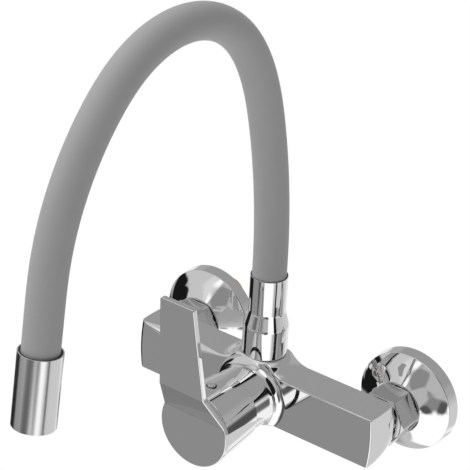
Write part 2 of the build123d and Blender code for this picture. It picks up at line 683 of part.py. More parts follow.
with BuildPart() as screw_plug:
    with BuildSketch(grub_place.offset(plug_seat - axis_z)):
        Circle(GRUB_D / 2)
    extrude(amount=-SKIRT_WALL)
    with BuildSketch(grub_place.offset(plug_seat - axis_z)):
        Circle(PLUG_D / 2)
    extrude(amount=PLUG_SINK + PLUG_HEAD)
    fillet(screw_plug.edges().sort_by(Axis.Z)[-1], radius=PLUG_HEAD)
finish(screw_plug, "screw_plug")

# Spout: tail in the boss, socket over it
spigot_r = SPIGOT_D / 2
ring_r = spigot_r + RUNNING_GAP / 2 - O_RING_WIRE / 2
ring_groove_r = ring_r - O_RING_WIRE / 2 - RUNNING_GAP / 2
tail_top = hose_foot - FITTING_FLANGE
ring_heights = (boss_top - O_RING_UPPER, boss_top - O_RING_LOWER)
with BuildPart() as spout_tail:
    with BuildSketch(Plane.XY.offset(boss_top - SPIGOT_DEPTH)):
        with Locations((0, -spout_out)):
            Circle(spigot_r)
            Circle(SPIGOT_BORE / 2, mode=Mode.SUBTRACT)
    extrude(amount=tail_top - boss_top + SPIGOT_DEPTH)
    with BuildSketch(Plane.XY.offset(tail_top)):
        with Locations((0, -spout_out)):
            Circle(FITTING_STUB_D / 2 + THREAD_GAP)
    extrude(amount=-FITTING_STUB - SEAT_GAP, mode=Mode.SUBTRACT)
    with BuildSketch(spout_profile):
        for ring_z in ring_heights:
            with Locations((spigot_r, ring_z)):
                Rectangle(2 * (spigot_r - ring_groove_r), O_RING_WIRE + 2 * SEAT_GAP)
        with Locations((spigot_r, groove_z)):
            Rectangle(2 * GROOVE_DEPTH, GROOVE_WIDTH)
    revolve(axis=spout_axis, mode=Mode.SUBTRACT)
finish(spout_tail, "spout_tail")

with BuildPart() as tail_o_rings:
    with BuildSketch(spout_profile):
        for ring_z in ring_heights:
            with Locations((ring_r, ring_z)):
                Circle(O_RING_WIRE / 2)
    revolve(axis=spout_axis)
finish(tail_o_rings, "tail_o_rings")

with BuildPart() as retaining_screw:
    with BuildSketch(face_on(0, bar_back, groove_z)):
        Circle(RETAINING_SCREW_D / 2)
    extrude(amount=spout_out - spigot_r + GROOVE_DEPTH - SEAT_GAP - bar_back)
    with BuildSketch(face_on(0, bar_back, groove_z)):
        RegularPolygon(SCREW_KEY / 2, HEX_SIDES, major_radius=False)
    extrude(amount=RETAINING_SCREW_D / 2, mode=Mode.SUBTRACT)
finish(retaining_screw, "retaining_screw")

with BuildPart() as slip_ring:
    with BuildSketch(Plane.XY.offset(socket_base - SLIP_RING_THICK)):
        with Locations((0, -spout_out)):
            Circle(SOCKET_D / 2 - SLIP_RING_THICK)
            Circle(spigot_r + THREAD_GAP, mode=Mode.SUBTRACT)
    extrude(amount=SLIP_RING_THICK)
finish(slip_ring, "slip_ring")

socket_r = SOCKET_D / 2
socket_top_r = SOCKET_TOP_D / 2
hose_r = HOSE_D / 2
neck_mid = ((socket_r + socket_top_r) / 2, socket_base + (SOCKET_NECK_LOW + SOCKET_NECK_HIGH) / 2)
with BuildPart() as spout_socket:
    with BuildSketch(spout_profile):
        with BuildLine():
            Line((spigot_r + THREAD_GAP, socket_base), (socket_r, socket_base))
            Line((socket_r, socket_base), (socket_r, socket_base + SOCKET_NECK_LOW))
            TangentArc((socket_r, socket_base + SOCKET_NECK_LOW), neck_mid, tangent=(0, 1))
            TangentArc(
                (socket_top_r, socket_base + SOCKET_NECK_HIGH),
                neck_mid,
                tangent=(0, -1),
            )
            Polyline(
                (socket_top_r, socket_base + SOCKET_NECK_HIGH),
                (socket_top_r, socket_top),
                (hose_r + THREAD_GAP, socket_top),
                (hose_r + THREAD_GAP, tail_top),
                (spigot_r + THREAD_GAP, tail_top),
                (spigot_r + THREAD_GAP, socket_base),
            )
        make_face()
    revolve(axis=spout_axis)
finish(spout_socket, "spout_socket")

# Route of the flexible hose: straight out of the socket, over the arch, straight into the nozzle.
# The lean is the hose's angle from upright after each bend; the first and the third bend take the radii
# that give the reach and the height.
rise_lean = radians(RISE_TURN)
crest_lean = rise_lean + radians(CREST_TURN)
arch_lean = crest_lean + radians(ARCH_TURN)
fall_lean = arch_lean + radians(FALL_TURN)
crest_out = CREST_R * (cos(rise_lean) - cos(crest_lean))
fall_out = FALL_R * (cos(arch_lean) - cos(fall_lean)) + DROP_LENGTH * sin(fall_lean)
crest_up = CREST_R * (sin(crest_lean) - sin(rise_lean))
bends_out = SPOUT_REACH - spout_out - crest_out - fall_out
bends_up = axis_z + SPOUT_HEIGHT - hose_r - socket_top - RISE_LENGTH - crest_up
rise_share = 1 - cos(rise_lean)
arch_share = cos(crest_lean) - cos(arch_lean)
arch_climb = 1 - sin(crest_lean)
shares = rise_share * arch_climb - arch_share * sin(rise_lean)
rise_r = (bends_out * arch_climb - bends_up * arch_share) / shares
arch_r = (rise_share * bends_up - sin(rise_lean) * bends_out) / shares
with BuildLine(Plane.YZ) as spout_line:
    rise = Line((-spout_out, hose_foot), (-spout_out, socket_top + RISE_LENGTH))
    rise_bend = JernArc(rise @ 1, rise % 1, rise_r, RISE_TURN)
    crest_bend = JernArc(rise_bend @ 1, rise_bend % 1, CREST_R, CREST_TURN)
    arch_bend = JernArc(crest_bend @ 1, crest_bend % 1, arch_r, ARCH_TURN)
    fall_bend = JernArc(arch_bend @ 1, arch_bend % 1, FALL_R, FALL_TURN)
    drop = Line(fall_bend @ 1, fall_bend @ 1 + (fall_bend % 1) * (DROP_LENGTH + NOZZLE_GRIP))

hose_start = Plane(origin=rise @ 0, x_dir=(1, 0, 0), z_dir=rise % 0)
for label, outer_d, inner_d in (
    ("hose_sleeve", HOSE_D, HOSE_BORE),
    ("gooseneck_core", CORE_D, CORE_BORE),
    ("water_tube", TUBE_D, TUBE_BORE),
):
    with BuildPart() as hose_layer:
        with BuildSketch(hose_start):
            Circle(outer_d / 2)
            Circle(inner_d / 2, mode=Mode.SUBTRACT)
        sweep(path=spout_line.wires()[0])
    finish(hose_layer, label)

# Fittings at both ends of the hose, measured along the hose from its end face
hose_way = drop % 1
nozzle_top = drop @ 1 - hose_way * NOZZLE_GRIP
for label, end, into_hose in (
    ("hose_fitting_lower", rise @ 0, rise % 0),
    ("hose_fitting_upper", drop @ 1, hose_way * -1),
):
    with BuildPart() as hose_fitting:
        fitting_plane = Plane(origin=end, x_dir=(1, 0, 0), z_dir=into_hose)
        with BuildSketch(fitting_plane):
            Circle(TUBE_BORE / 2 - THREAD_GAP)
        extrude(amount=FITTING_SPIGOT)
        with BuildSketch(fitting_plane):
            Circle(FITTING_FLANGE_D / 2)
        extrude(amount=-FITTING_FLANGE)
        with BuildSketch(fitting_plane.offset(-FITTING_FLANGE)):
            Circle(FITTING_STUB_D / 2)
        extrude(amount=-FITTING_STUB)
        with BuildSketch(fitting_plane.offset(FITTING_SPIGOT)):
            Circle(FITTING_BORE / 2)
        extrude(amount=-FITTING_SPIGOT - FITTING_FLANGE - FITTING_STUB, mode=Mode.SUBTRACT)
    finish(hose_fitting, label)

# Nozzle around the hose's end: profile across and along the hose
nozzle_profile = Plane(origin=nozzle_top, x_dir=(1, 0, 0), z_dir=Vector(1, 0, 0).cross(hose_way))
nozzle_axis = Axis(nozzle_top, hose_way)
nozzle_r = NOZZLE_D / 2
web_in = NOZZLE_GRIP + FITTING_FLANGE
aerator_in = NOZZLE_LENGTH - AERATOR_RECESS - AERATOR_LENGTH
web_out = aerator_in - AERATOR_WASHER
with BuildPart() as nozzle:
    with BuildSketch(nozzle_profile):
        with BuildLine():
            Polyline(
                (hose_r + NOZZLE_LIP, 0),
                (nozzle_r, 0),
                (nozzle_r, NOZZLE_LENGTH),
                (NOZZLE_OUTLET_D / 2, NOZZLE_LENGTH),
                (NOZZLE_OUTLET_D / 2, web_out),
                (FITTING_STUB_D / 2 + THREAD_GAP, web_out),
                (FITTING_STUB_D / 2 + THREAD_GAP, web_in),
                (hose_r + THREAD_GAP, web_in),
                (hose_r + THREAD_GAP, NOZZLE_LIP),
                close=True,
            )
        make_face()
    revolve(axis=nozzle_axis)
finish(nozzle, "nozzle")

aerator_plane = Plane(origin=nozzle_top + hose_way * aerator_in, x_dir=(1, 0, 0), z_dir=hose_way)
with BuildPart() as aerator:
    with BuildSketch(aerator_plane):
        Circle(AERATOR_D / 2)
        Circle(AERATOR_HOLE_D / 2, mode=Mode.SUBTRACT)
        for ring in range(1, AERATOR_RINGS + 1):
            with PolarLocations(ring * AERATOR_PITCH, HEX_SIDES * ring):
                Circle(AERATOR_HOLE_D / 2, mode=Mode.SUBTRACT)
    extrude(amount=AERATOR_LENGTH)
finish(aerator, "aerator")

with BuildPart() as aerator_washer:
    with BuildSketch(aerator_plane):
        Circle(AERATOR_D / 2)
        Circle(AERATOR_WASHER_BORE / 2, mode=Mode.SUBTRACT)
    extrude(amount=-AERATOR_WASHER)
finish(aerator_washer, "aerator_washer")
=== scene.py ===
"""Looks of the wall-mounted kitchen faucet: chromed body, lever and flanges, grey flexible spout.

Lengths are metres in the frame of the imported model: the wall is the plane y = 0, the room is on the -y side
and z is up. Distances called "out" are measured from the wall into the room.
"""

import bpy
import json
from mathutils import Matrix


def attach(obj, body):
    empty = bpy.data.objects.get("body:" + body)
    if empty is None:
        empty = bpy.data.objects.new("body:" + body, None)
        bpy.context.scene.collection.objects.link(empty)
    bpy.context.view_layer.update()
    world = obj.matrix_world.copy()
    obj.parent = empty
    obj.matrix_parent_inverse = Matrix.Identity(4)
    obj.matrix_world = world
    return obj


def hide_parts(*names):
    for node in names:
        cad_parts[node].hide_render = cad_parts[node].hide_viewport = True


bl_info = {
    "name": "Wall Faucet Dresser",
    "version": (1, 0, 0),
    "blender": (4, 5, 0),
    "location": "View3D > Sidebar > Faucet",
    "description": "Builds the visible pieces of a wall-mounted kitchen faucet around its packed model",
    "category": "Add Mesh",
}

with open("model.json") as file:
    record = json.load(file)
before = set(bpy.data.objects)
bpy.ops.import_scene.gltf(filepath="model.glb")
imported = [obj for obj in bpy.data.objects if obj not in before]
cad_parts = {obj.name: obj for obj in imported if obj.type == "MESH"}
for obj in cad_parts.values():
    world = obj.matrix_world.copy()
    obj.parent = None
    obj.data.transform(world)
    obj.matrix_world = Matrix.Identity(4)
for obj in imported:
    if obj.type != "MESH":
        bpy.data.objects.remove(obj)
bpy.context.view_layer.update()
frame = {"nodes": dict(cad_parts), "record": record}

import json
from math import ceil, cos, pi, radians, sin

import bpy
import numpy as np
from bpy.props import FloatProperty, FloatVectorProperty, PointerProperty
from mathutils import Matrix

# Directions
RIGHT = np.array((1.0, 0.0, 0.0))
UP = np.array((0.0, 0.0, 1.0))
OUT = np.array((0.0, -1.0, 0.0))

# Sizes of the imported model. Heights of casting and lever are measured from the cartridge axis.
AXIS_Z = -0.008  # height of the inlets and of the cartridge axis
INLET_X = 0.075
SIDES = (("left", -INLET_X), ("right", INLET_X))

BAR_BACK, BAR_FRONT, BAR_HALF = 0.0393, 0.063, 0.0166
BAR_TIP, BAR_END_R = 0.08741, 0.110
FOOT_OUT, FOOT_Z = 0.0378, -0.008  # lower edge of the bar's leaning back
BELLY_OUT, BELLY_Z, BELLY_R = 0.06803, 0.03936, 0.05619  # circle of the bar's underside
SHOULDER_START, SHOULDER_RISE, SHOULDER_FALL = 0.018, 0.04, 0.03  # run of the rounder edge on the left
SPOUT_OUT = 0.05115
BOSS_R, BOSS_TOP, SADDLE_R = 0.0157, 0.024, 0.012
HOUSING_R, HOUSING_BACK_R = 0.0198, 0.011
SEAM_OUT = 0.0841
CHAMBER_R, CHAMBER_MOUTH_R, CHAMBER_FLOOR, CHAMBER_MOUTH = 0.01755, 0.0185, 0.0607, 0.0802
COLLAR_BACK, COLLAR_PLAY, COLLAR_KEEN = 0.072, 1.5e-5, 7  # ring that carries the housing on to the seam
TAIL_HOLE_R, TAIL_HOLE_FLOOR, TAIL_HOLE_EDGE = 0.00855, 0.001, 0.001
INLET_BOSS_R, INLET_BOSS_BORE, INLET_BOSS_BACK, INLET_BOSS_END = 0.0103, 0.00845, 0.037, 0.0455
SCREW_Z, SCREW_DIMPLE = 0.0145, 0.0026  # set screw in the bar's back

HUB_BACK, DISC_BACK, DISC_FRONT = 0.0844, 0.1146, 0.1181
PAINTED_SHADE_RING_FRONT, PAINTED_SHADE_BLEND = 0.0847, 5e-5  # black band painted on the hub's back face as the shade of the gap to the housing, soft edge of such painted black
SKIRT_BORE, SKIRT_R, DISC_R = 0.0201, 0.0212, 0.0237
SKIRT_FLOOR_R, SKIRT_INSET = 0.002, 3e-5  # rounding inside the hub, its step behind the disc's edge
GRIP_BACK, GRIP_FRONT, GRIP_R, GRIP_BORE = 0.0976, 0.1096, 0.009, 0.0058
WAIST_Z = 0.0092
SLOPE_OUT, SLOPE_Z, SLOPE_HALF = 0.13141, 0.0318, 0.0159  # where the sloping stretch meets the blade
TIP_OUT, TIP_Z, TIP_HALF = 0.1392, 0.0927, 0.01175
PLATE, BEND_R = 0.0035, 0.004
PLUG_OUT, PLUG_SEAT, PLUG_R, PLUG_RISE = 0.1024, 0.02219, 0.0032, 0.0015
PLUG_DOME_R, PLUG_RING_RISE = 0.0024, 0.0008
PLUG_SHANK_R, PLUG_SHANK_END = 0.0024, -0.001
PLUG_EDGES = (0, 0.0002, 0.0001, 0.0002, 0.0003, 0.0001, 0.0005, 0)

SOCKET_R, SOCKET_TOP_R = 0.0137, 0.01125
SOCKET_BASE, SOCKET_TOP = 0.01665, 0.06785
SOCKET_CONE_LOW, SOCKET_CONE_HIGH, SOCKET_CONE_R, SOCKET_STEP = 0.0352, 0.0445, 0.008, 0.03785
SPIGOT_BORE, HOSE_BORE = 0.0086, 0.01035
HOSE_R, HOSE_FOOT = 0.01025, 0.04285
HOSE_RUNS = (  # length, turn in degrees
    (0.026, 0.0),
    (0.115641, 16.5),
    (0.036573, 16.5),
    (0.132537, 99.5),
    (0.107338, 41.0),
    (0.0465, 0.0),
)
NOZZLE_R, NOZZLE_LENGTH, NOZZLE_GRIP = 0.0122, 0.0424, 0.013
AERATOR_BORE, AERATOR_SEAT, WATER_BORE, HOSE_STOP = 0.0109, 0.0306, 0.007, 0.018  # inside the nozzle
SOCKET_SEAL_R, NOZZLE_SEAL_R, SEAL_BORE = 0.0108, 0.0115, 0.01028  # rubber rings round the hose
SEAL_SEAT, SEAL_SINK, SEAL_EDGE, SEAL_PLAY = 0.004, 0.0004, 0.00015, 2e-5

NUT_HALF, NUT_CORNER, NUT_BACK, NUT_FRONT, NUT_CHAMFER = 0.015, 0.01732, 0.0184, 0.0366, 0.0012
NUT_BORE, NUT_LIP_BORE, NUT_LIP_BACK = 0.01334, 0.00845, 0.032
FLANGE_R, FLANGE_RIM, FLANGE_BELL_R, FLANGE_DEPTH = 0.032, 0.0084, 0.0314, 0.018
FLANGE_COLLAR_R, FLANGE_HOLE, FLANGE_WALL, FLANGE_STEEP = 0.0166, 0.01336, 0.0014, radians(40.0)
FLANGE_CREASE, FLANGE_ARC_SHARE = 0.0012, 0.95

# Grids
CHORD_ERROR, WELD = 2e-6, 1e-7
HALVINGS, NORMAL_STEP, FACE_PLAY = 36, 2e-6, 1e-5
BAR_STEPS = (0.0014, 0.00016, 0.00058)  # fine stretch at each edge, its step and the step between
CAST_OUT, CAST_REACH = 0.052, 0.13  # rays of the casting
END_GAPS = (1.6, 1.2, 0.95, 0.8, 0.65, 0.52, 0.4, 0.28, 0.16, 0.07)  # millimetres from an end's rim inwards
TIP_GAPS = (0.0, 0.1, 0.22, 0.34, 0.47, 0.6, 0.75, 0.92, 1.15, 1.5, 2.1)  # millimetres from it along the bar
END_HALF, BAR_HALF_LENGTH = 12, 87  # millimetres
END_ROWS, BESIDE_ROWS, HOUSING_ROWS = (0, 0.86, 9), (0.965, 0.5, 17), (0.49, 0, 62)  # shares and how many
NUT_STEPS = (0.0026, 0.00017, 0.0012)
NUT_RING_R, NUT_REACH, NUT_COLUMNS = 0.0138, 0.03, 288  # rays of the nuts
NUT_CAP_ROWS, NUT_CAP_SHARE, NUT_POWER = 8, 0.98, 48
HOSE_STEPS, HOSE_STRIDE, HOSE_COLUMNS = 1200, 5, 80
HOSE_BLUR, HOSE_SAMPLES = 0.015, 41
HOSE_SHUT = (0.0, 0.5, 0.85, 0.96)  # shares of its radius in the rows that close an end
ARC_STEPS, CORNER_STEPS, TIP_STEPS, BEND_STEPS, FILL_STEPS = 40, 8, 10, 7, 9  # lever plate
PLATE_STEPS = (14, 24, 14, 24, 35)

# Light. Angles are degrees: azimuth from straight out to the right, elevation above the level.
SENSOR, CLIP_START, CLIP_END = 36, 0.05, 50
FLOOR_R, FLOOR_MIDDLE, FLOOR_ROUGHNESS, FLOOR_RINGS, FLOOR_COLUMNS = 6, -0.1, 0.8, 13, 96
FLOOR_SPOT, FADE_START, FADE_END = (0.05, -0.2), 0.25, 0.55  # the floor turns white round this spot
LAMP_SIZE, LAMP_POWER = 1.0, 1.5
LAMP_PLACE, LAMP_TURN = (0.5, -1.0, 1.6), (radians(35), 0, radians(25))
SOFT_LIGHT = (  # weights of the products of two direction parts in the light on matt surfaces
    ("X", None, 0.009),
    ("Y", None, -0.221),
    ("Z", None, 0.035),
    ("X", "X", 0.241),
    ("Y", "Y", -0.241),
    ("Z", "Z", 1.393),
    ("X", "Y", 0.247),
    ("Z", "X", -1.877),
)
SOFT_LIGHT_LEVEL, SOFT_LIGHT_LEAST = 0.22, 0.03
STUDIO_BASE = 165
STUDIO_CARDS = (  # name, grey, azimuth and half width, elevation and half height, slant, softness
    ("rear_right", 149, 138, 50, 50, 32, 0, 8),
    ("side_right", 184, 118, 32, -10, 10, 0, 6),
    ("rear_left", 149, -150, 40, 52, 32, 0, 6),
    ("upper_left", 194, -60, 47, 30, 28, 0, 4),
    ("upper_right", 177, 50, 50, 36, 41, 0, 4),
    ("overhead", 200, 0, 190, 78, 14, 0, 8),
    ("left_glow", 212, -24, 9, 24, 18, 0.2, 5),
    ("bright_strip", 252, -12, 5, 37, 12, 0.35, 3),
    ("rear_floor", 200, 140, 62, -46, 36, 0, 6),
    ("rear_floor_left", 230, -145, 32, -26, 24, 0, 5),
    ("rear_sweep", 236, 180, 16, -42, 18, 0, 5),
    ("low_left", 188, -90, 80, -76, 16, 0, 3),
    ("left_floor", 137, -70, 56, -42, 21, 0, 2),
    ("left_shade", 116, -94, 15, -58, 9, 0, 6),
    ("white_floor_low", 255, 30, 75, -70, 22, 0, 4),
    ("white_floor", 255, 37, 31, -39, 17, 0, 4),
    ("right_panel", 255, 60, 15, -10, 14, 0, 2),
    ("level_band", 130, 29, 14, -12, 9, 0, 3),
    ("neck_band", 104, -10, 27, -2, 5, 0, 2),
    ("level_shade", 80, 37, 8, -15, 10, 0.4, 3),
    ("front_band", 135, -1, 12, 17, 17, 0.35, 2),
    ("dark_strip", 78, -13, 14, -32, 13, 0, 3),
    ("dark_head", 88, 0, 14, -20, 6, 0, 3),
    ("left_stand", 24, -103, 13, -30, 4, 0, 1),
    ("left_card", 23, -78, 13, -14, 20.5, 0.3, 1.5),
    ("right_card", 24, 68, 27, 27, 26, 0, 1.5),
    ("right_stand", 24, 84, 4.5, -14, 22, 0, 1),
    ("stand_head", 24, 81, 7, -7, 8, 0, 1),
)


# Shapes ---------------------------------------------------------------------------------------------------

def unit(vectors):
    """Vectors divided by their own lengths."""
    return vectors / np.maximum(np.linalg.norm(vectors, axis=-1, keepdims=True), 1e-12)


def eased(share):
    """Smooth step from 0 to 1: three times the square less twice the cube of the share."""
    share = np.clip(share, 0, 1)
    return share**2 * (3 - 2 * share)


def joined(*parts):
    """Points or directions from their parts, which may be single numbers."""
    return np.stack(np.broadcast_arrays(*parts), -1)


def placed(right, out, up):
    """Points or directions from their parts to the right, out and up."""
    return joined(right, -out, up)


def circled(angle):
    """Directions at these angles: cos a along the first axis, sin a along the second."""
    return joined(np.cos(angle), np.sin(angle))


def rounded_line(corners, radii, closed=False):
    """Points and directions of a line through the corners, each rounded by its radius or by the one given.

    A rounded corner is the arc centre + radius * (cos a, sin a) that touches both neighbouring straight
    stretches; its steps are as long as the allowed chord error lets them be.
    """
    corners = np.asarray(corners, float)
    before, after = np.roll(corners, 1, axis=0), np.roll(corners, -1, axis=0)
    points, ways = [], []
    for i, radius in enumerate(np.broadcast_to(radii, len(corners))):
        way_in, way_out = unit(corners[i] - before[i]), unit(after[i] - corners[i])
        if not closed and i in (0, len(corners) - 1):
            points.append(corners[i : i + 1])
            ways.append((way_out if i == 0 else way_in)[None])
            continue
        turn = np.arctan2(way_in[0] * way_out[1] - way_in[1] * way_out[0], way_in @ way_out)
        step = 2 * np.arccos(max(0.0, 1 - CHORD_ERROR / radius))
        angle = turn * np.linspace(0, 1, max(3, ceil(abs(turn) / step)) + 1)
        turned = np.stack([[np.cos(angle), -np.sin(angle)], [np.sin(angle), np.cos(angle)]])
        side = np.sign(turn) * np.array((-way_in[1], way_in[0]))
        centre = corners[i] + radius * (side - way_in * np.tan(abs(turn) / 2))
        points.append(centre - radius * np.einsum("ijk,j->ki", turned, side))
        ways.append(np.einsum("ijk,j->ki", turned, way_in))
    return np.concatenate(points), np.concatenate(ways)


def stepped(*values):
    """Corners of a stair: radius and height take turns, and each value makes a corner with the next one."""
    pairs = enumerate(zip(values, values[1:]))
    return [pair[::-1] if i % 2 else pair for i, pair in pairs]


def shell(points, normals, wrap_rows=False):
    """Grid of points with its normals as a sheet of four-sided faces, whose last column meets the first."""
    rows, columns = points.shape[:2]
    index = np.arange(rows * columns).reshape(rows, columns)
    if wrap_rows:
        index = np.concatenate([index, index[:1]], 0)
    index = np.concatenate([index, index[:, :1]], 1)
    faces = np.stack([index[:-1, :-1], index[:-1, 1:], index[1:, 1:], index[1:, :-1]], -1)
    return points.reshape(-1, 3), normals.reshape(-1, 3), faces.reshape(-1, 4)


def wheel(columns, side):
    """Spokes that turn from the right towards a side: cos a * right + sin a * side."""
    angle = np.linspace(0, 2 * pi, columns, endpoint=False)[:, None]
    return np.cos(angle) * RIGHT + np.sin(angle) * side


def revolve(corners, radii, origin, columns, along=OUT, closed=True):
    """Rounded profile turned round an axis: origin + r * spoke + h * along.

    The profile's corners are (r, h), and its outer stretches run in the direction of "along".
    """
    profile, ways = rounded_line(corners, radii, closed)
    spokes = wheel(columns, np.cross(along, RIGHT))
    r, h = profile[:, 0, None, None], profile[:, 1, None, None]
    points = np.asarray(origin) + r * spokes + h * along
    normals = ways[:, 1, None, None] * spokes - ways[:, 0, None, None] * along
    return shell(points, normals, closed)


def round_max(a, b, radius):
    """Greater of two distances, with a quarter circle of that radius where they are equal."""
    corner = np.hypot(np.maximum(a + radius, 0), np.maximum(b + radius, 0))
    return np.minimum(np.maximum(a, b), -radius) + corner


def round_min(a, b, radius):
    """Lesser of two distances, with a hollow quarter circle of that radius where they are equal."""
    corner = np.hypot(np.maximum(radius - a, 0), np.maximum(radius - b, 0))
    return np.maximum(np.minimum(a, b), radius) - corner


def cast(field, starts, aims, reach):
    """Point of each ray where the field turns from negative, inside, to positive, outside, and its normal.

    A point is start + t * direction, and t comes from halving the interval again and again. A normal is the
    field's differences over a short step along x, y and z.
    """
    directions = unit(aims.reshape(-1, 3))
    low, high = np.zeros(len(directions)), np.full(len(directions), reach)
    for _ in range(HALVINGS):
        middle = (low + high) / 2
        inside = field(starts + middle[:, None] * directions) < 0
        low, high = np.where(inside, middle, low), np.where(inside, high, middle)
    points, steps = starts + low[:, None] * directions, NORMAL_STEP * np.eye(3)
    return points, unit(np.stack([field(points + s) - field(points - s) for s in steps], -1))


def stations(length, fine, fine_step, step):
    """Places along a stretch, close together at both of its ends: shares from 0 to just under 1."""
    near = np.arange(0, fine, fine_step)
    middle = np.linspace(fine, length - fine, max(2, ceil((length - 2 * fine) / step)))
    return np.concatenate([near, middle, length - near[:0:-1]]) / length


def new_piece(name, shells, body, nodes, material):
    """Weld the shells into one mesh with its own normals, and put it into the frame in place of its nodes."""
    starts = np.cumsum([0] + [len(points) for points, _, _ in shells])
    points = np.concatenate([s[0] for s in shells])
    normals = np.concatenate([s[1] for s in shells])
    faces = np.concatenate([s[2] + start for s, start in zip(shells, starts)])
    _, first, same = np.unique(
        np.round(points / WELD).astype(np.int64), axis=0, return_index=True, return_inverse=True
    )
    same = same.reshape(-1)
    summed = np.zeros((len(first), 3))
    np.add.at(summed, same, normals)
    points, normals, faces = points[first], unit(summed), same[faces]
    across = points[faces[:, 2]] - points[faces[:, 0]]
    along = points[faces[:, 3]] - points[faces[:, 1]]
    wrong = np.einsum("ij,ij->i", np.cross(across, along), normals[faces].sum(1)) < 0
    faces[wrong] = faces[wrong, ::-1]
    doubled = faces == np.roll(faces, -1, axis=1)
    pointed = doubled.sum(1) == 1
    quads, triangles = faces[~doubled.any(1)], faces[pointed][~doubled[pointed]].reshape(-1, 3)

    mesh = bpy.data.meshes.new(name)
    mesh.from_pydata(points.tolist(), [], quads.tolist() + triangles.tolist())
    if mesh.validate():
        raise RuntimeError(f"{name}: the mesh had faults")
    mesh.shade_smooth()
    mesh.normals_split_custom_set_from_vertices(normals)
    mesh.materials.append(material)
    piece = bpy.data.objects.new(name, mesh)
    bpy.context.scene.collection.objects.link(piece)
    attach(piece, body)
    if nodes:
        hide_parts(*nodes)


def casting_field(sizes):
    """Distance-like field of the body casting, negative inside.

    The bar is what lies inside its front, its leaning back, its round underside, its domed ends and its top,
    which rises in a hollow saddle to the rounded crown of the spout boss. On the left its upper front edge,
    the shoulder, and the front and lower edges of its end, the heel, are rounder. The round housing is joined
    to the bar with a hollow rounding, and a shallow ball is taken out over the screw in the back.
    """
    edge = sizes.bar_edge
    deep = SCREW_DIMPLE / 3
    ball = (SCREW_DIMPLE**2 + deep**2) / (2 * deep)

    def field(points):
        x, out, z = np.abs(points[:, 0]), -points[:, 1], points[:, 2] - AXIS_Z
        left = np.maximum(-points[:, 0], 0)
        lean = np.clip((BAR_HALF - z) / (BAR_HALF - FOOT_Z), 0, None)
        back = BAR_BACK - lean * (BAR_BACK - FOOT_OUT) - out
        front = out - BAR_FRONT
        boss = np.hypot(x, out - SPOUT_OUT) - BOSS_R
        top = round_max(round_min(z - BAR_HALF, boss, SADDLE_R), z - BOSS_TOP, sizes.boss_crown)
        under = np.hypot(out - BELLY_OUT, z - BELLY_Z) - BELLY_R
        end = np.sqrt((x - BAR_TIP + BAR_END_R) ** 2 + (out - SPOUT_OUT) ** 2 + z**2) - BAR_END_R
        bar = round_max(np.maximum(front, back), np.maximum(top, under), edge)
        shoulder = sizes.left_shoulder * eased((left - SHOULDER_START) / SHOULDER_RISE)
        shoulder = edge + shoulder * eased((BAR_TIP - left) / SHOULDER_FALL)
        bar = np.maximum(bar, round_max(front, top, shoulder))
        bar = round_max(bar, end, edge)
        heel = edge + (sizes.left_heel - edge) * (left > 0)
        bar = np.maximum(bar, round_max(np.maximum(front, under), end, heel))
        housing = round_max(np.hypot(x, z) - HOUSING_R, SPOUT_OUT - HOUSING_BACK_R - out, HOUSING_BACK_R)
        housing = round_max(housing, out - CHAMBER_MOUTH, edge / 2)
        whole = np.maximum(round_min(bar, housing, sizes.housing_flare), z - BOSS_TOP)
        dimple = ball - np.sqrt(x**2 + (out - BAR_BACK + ball - deep) ** 2 + (z - SCREW_Z) ** 2)
        return round_max(whole, dimple, edge / 4)

    return field


def sunk(points, centre, axis, rim, radius, depth):
    """Press a flat round face into a blind hole: the inner two thirds of its radius become wall and floor.

    A point at distance q from the axis stays on the face down to two thirds of the rim, then goes down
    the wall, and from one third inwards lies on the floor. The moved points come with their normals.
    """
    arm = points - centre
    along = arm @ axis
    spoke = arm - along[:, None] * axis
    q = np.linalg.norm(spoke, axis=1) / rim
    held = np.where(q > 2 / 3, radius + (rim - radius) * (3 * q - 2), radius * np.minimum(1, 3 * q))
    down = depth * np.clip(2 - 3 * q, 0, 1)
    way = unit(spoke)
    moved = centre + held[:, None] * way + (along - down)[:, None] * axis
    wall = ((q < 2 / 3) & (q > 1 / 3))[:, None]
    return moved, np.where(wall, -way, axis)


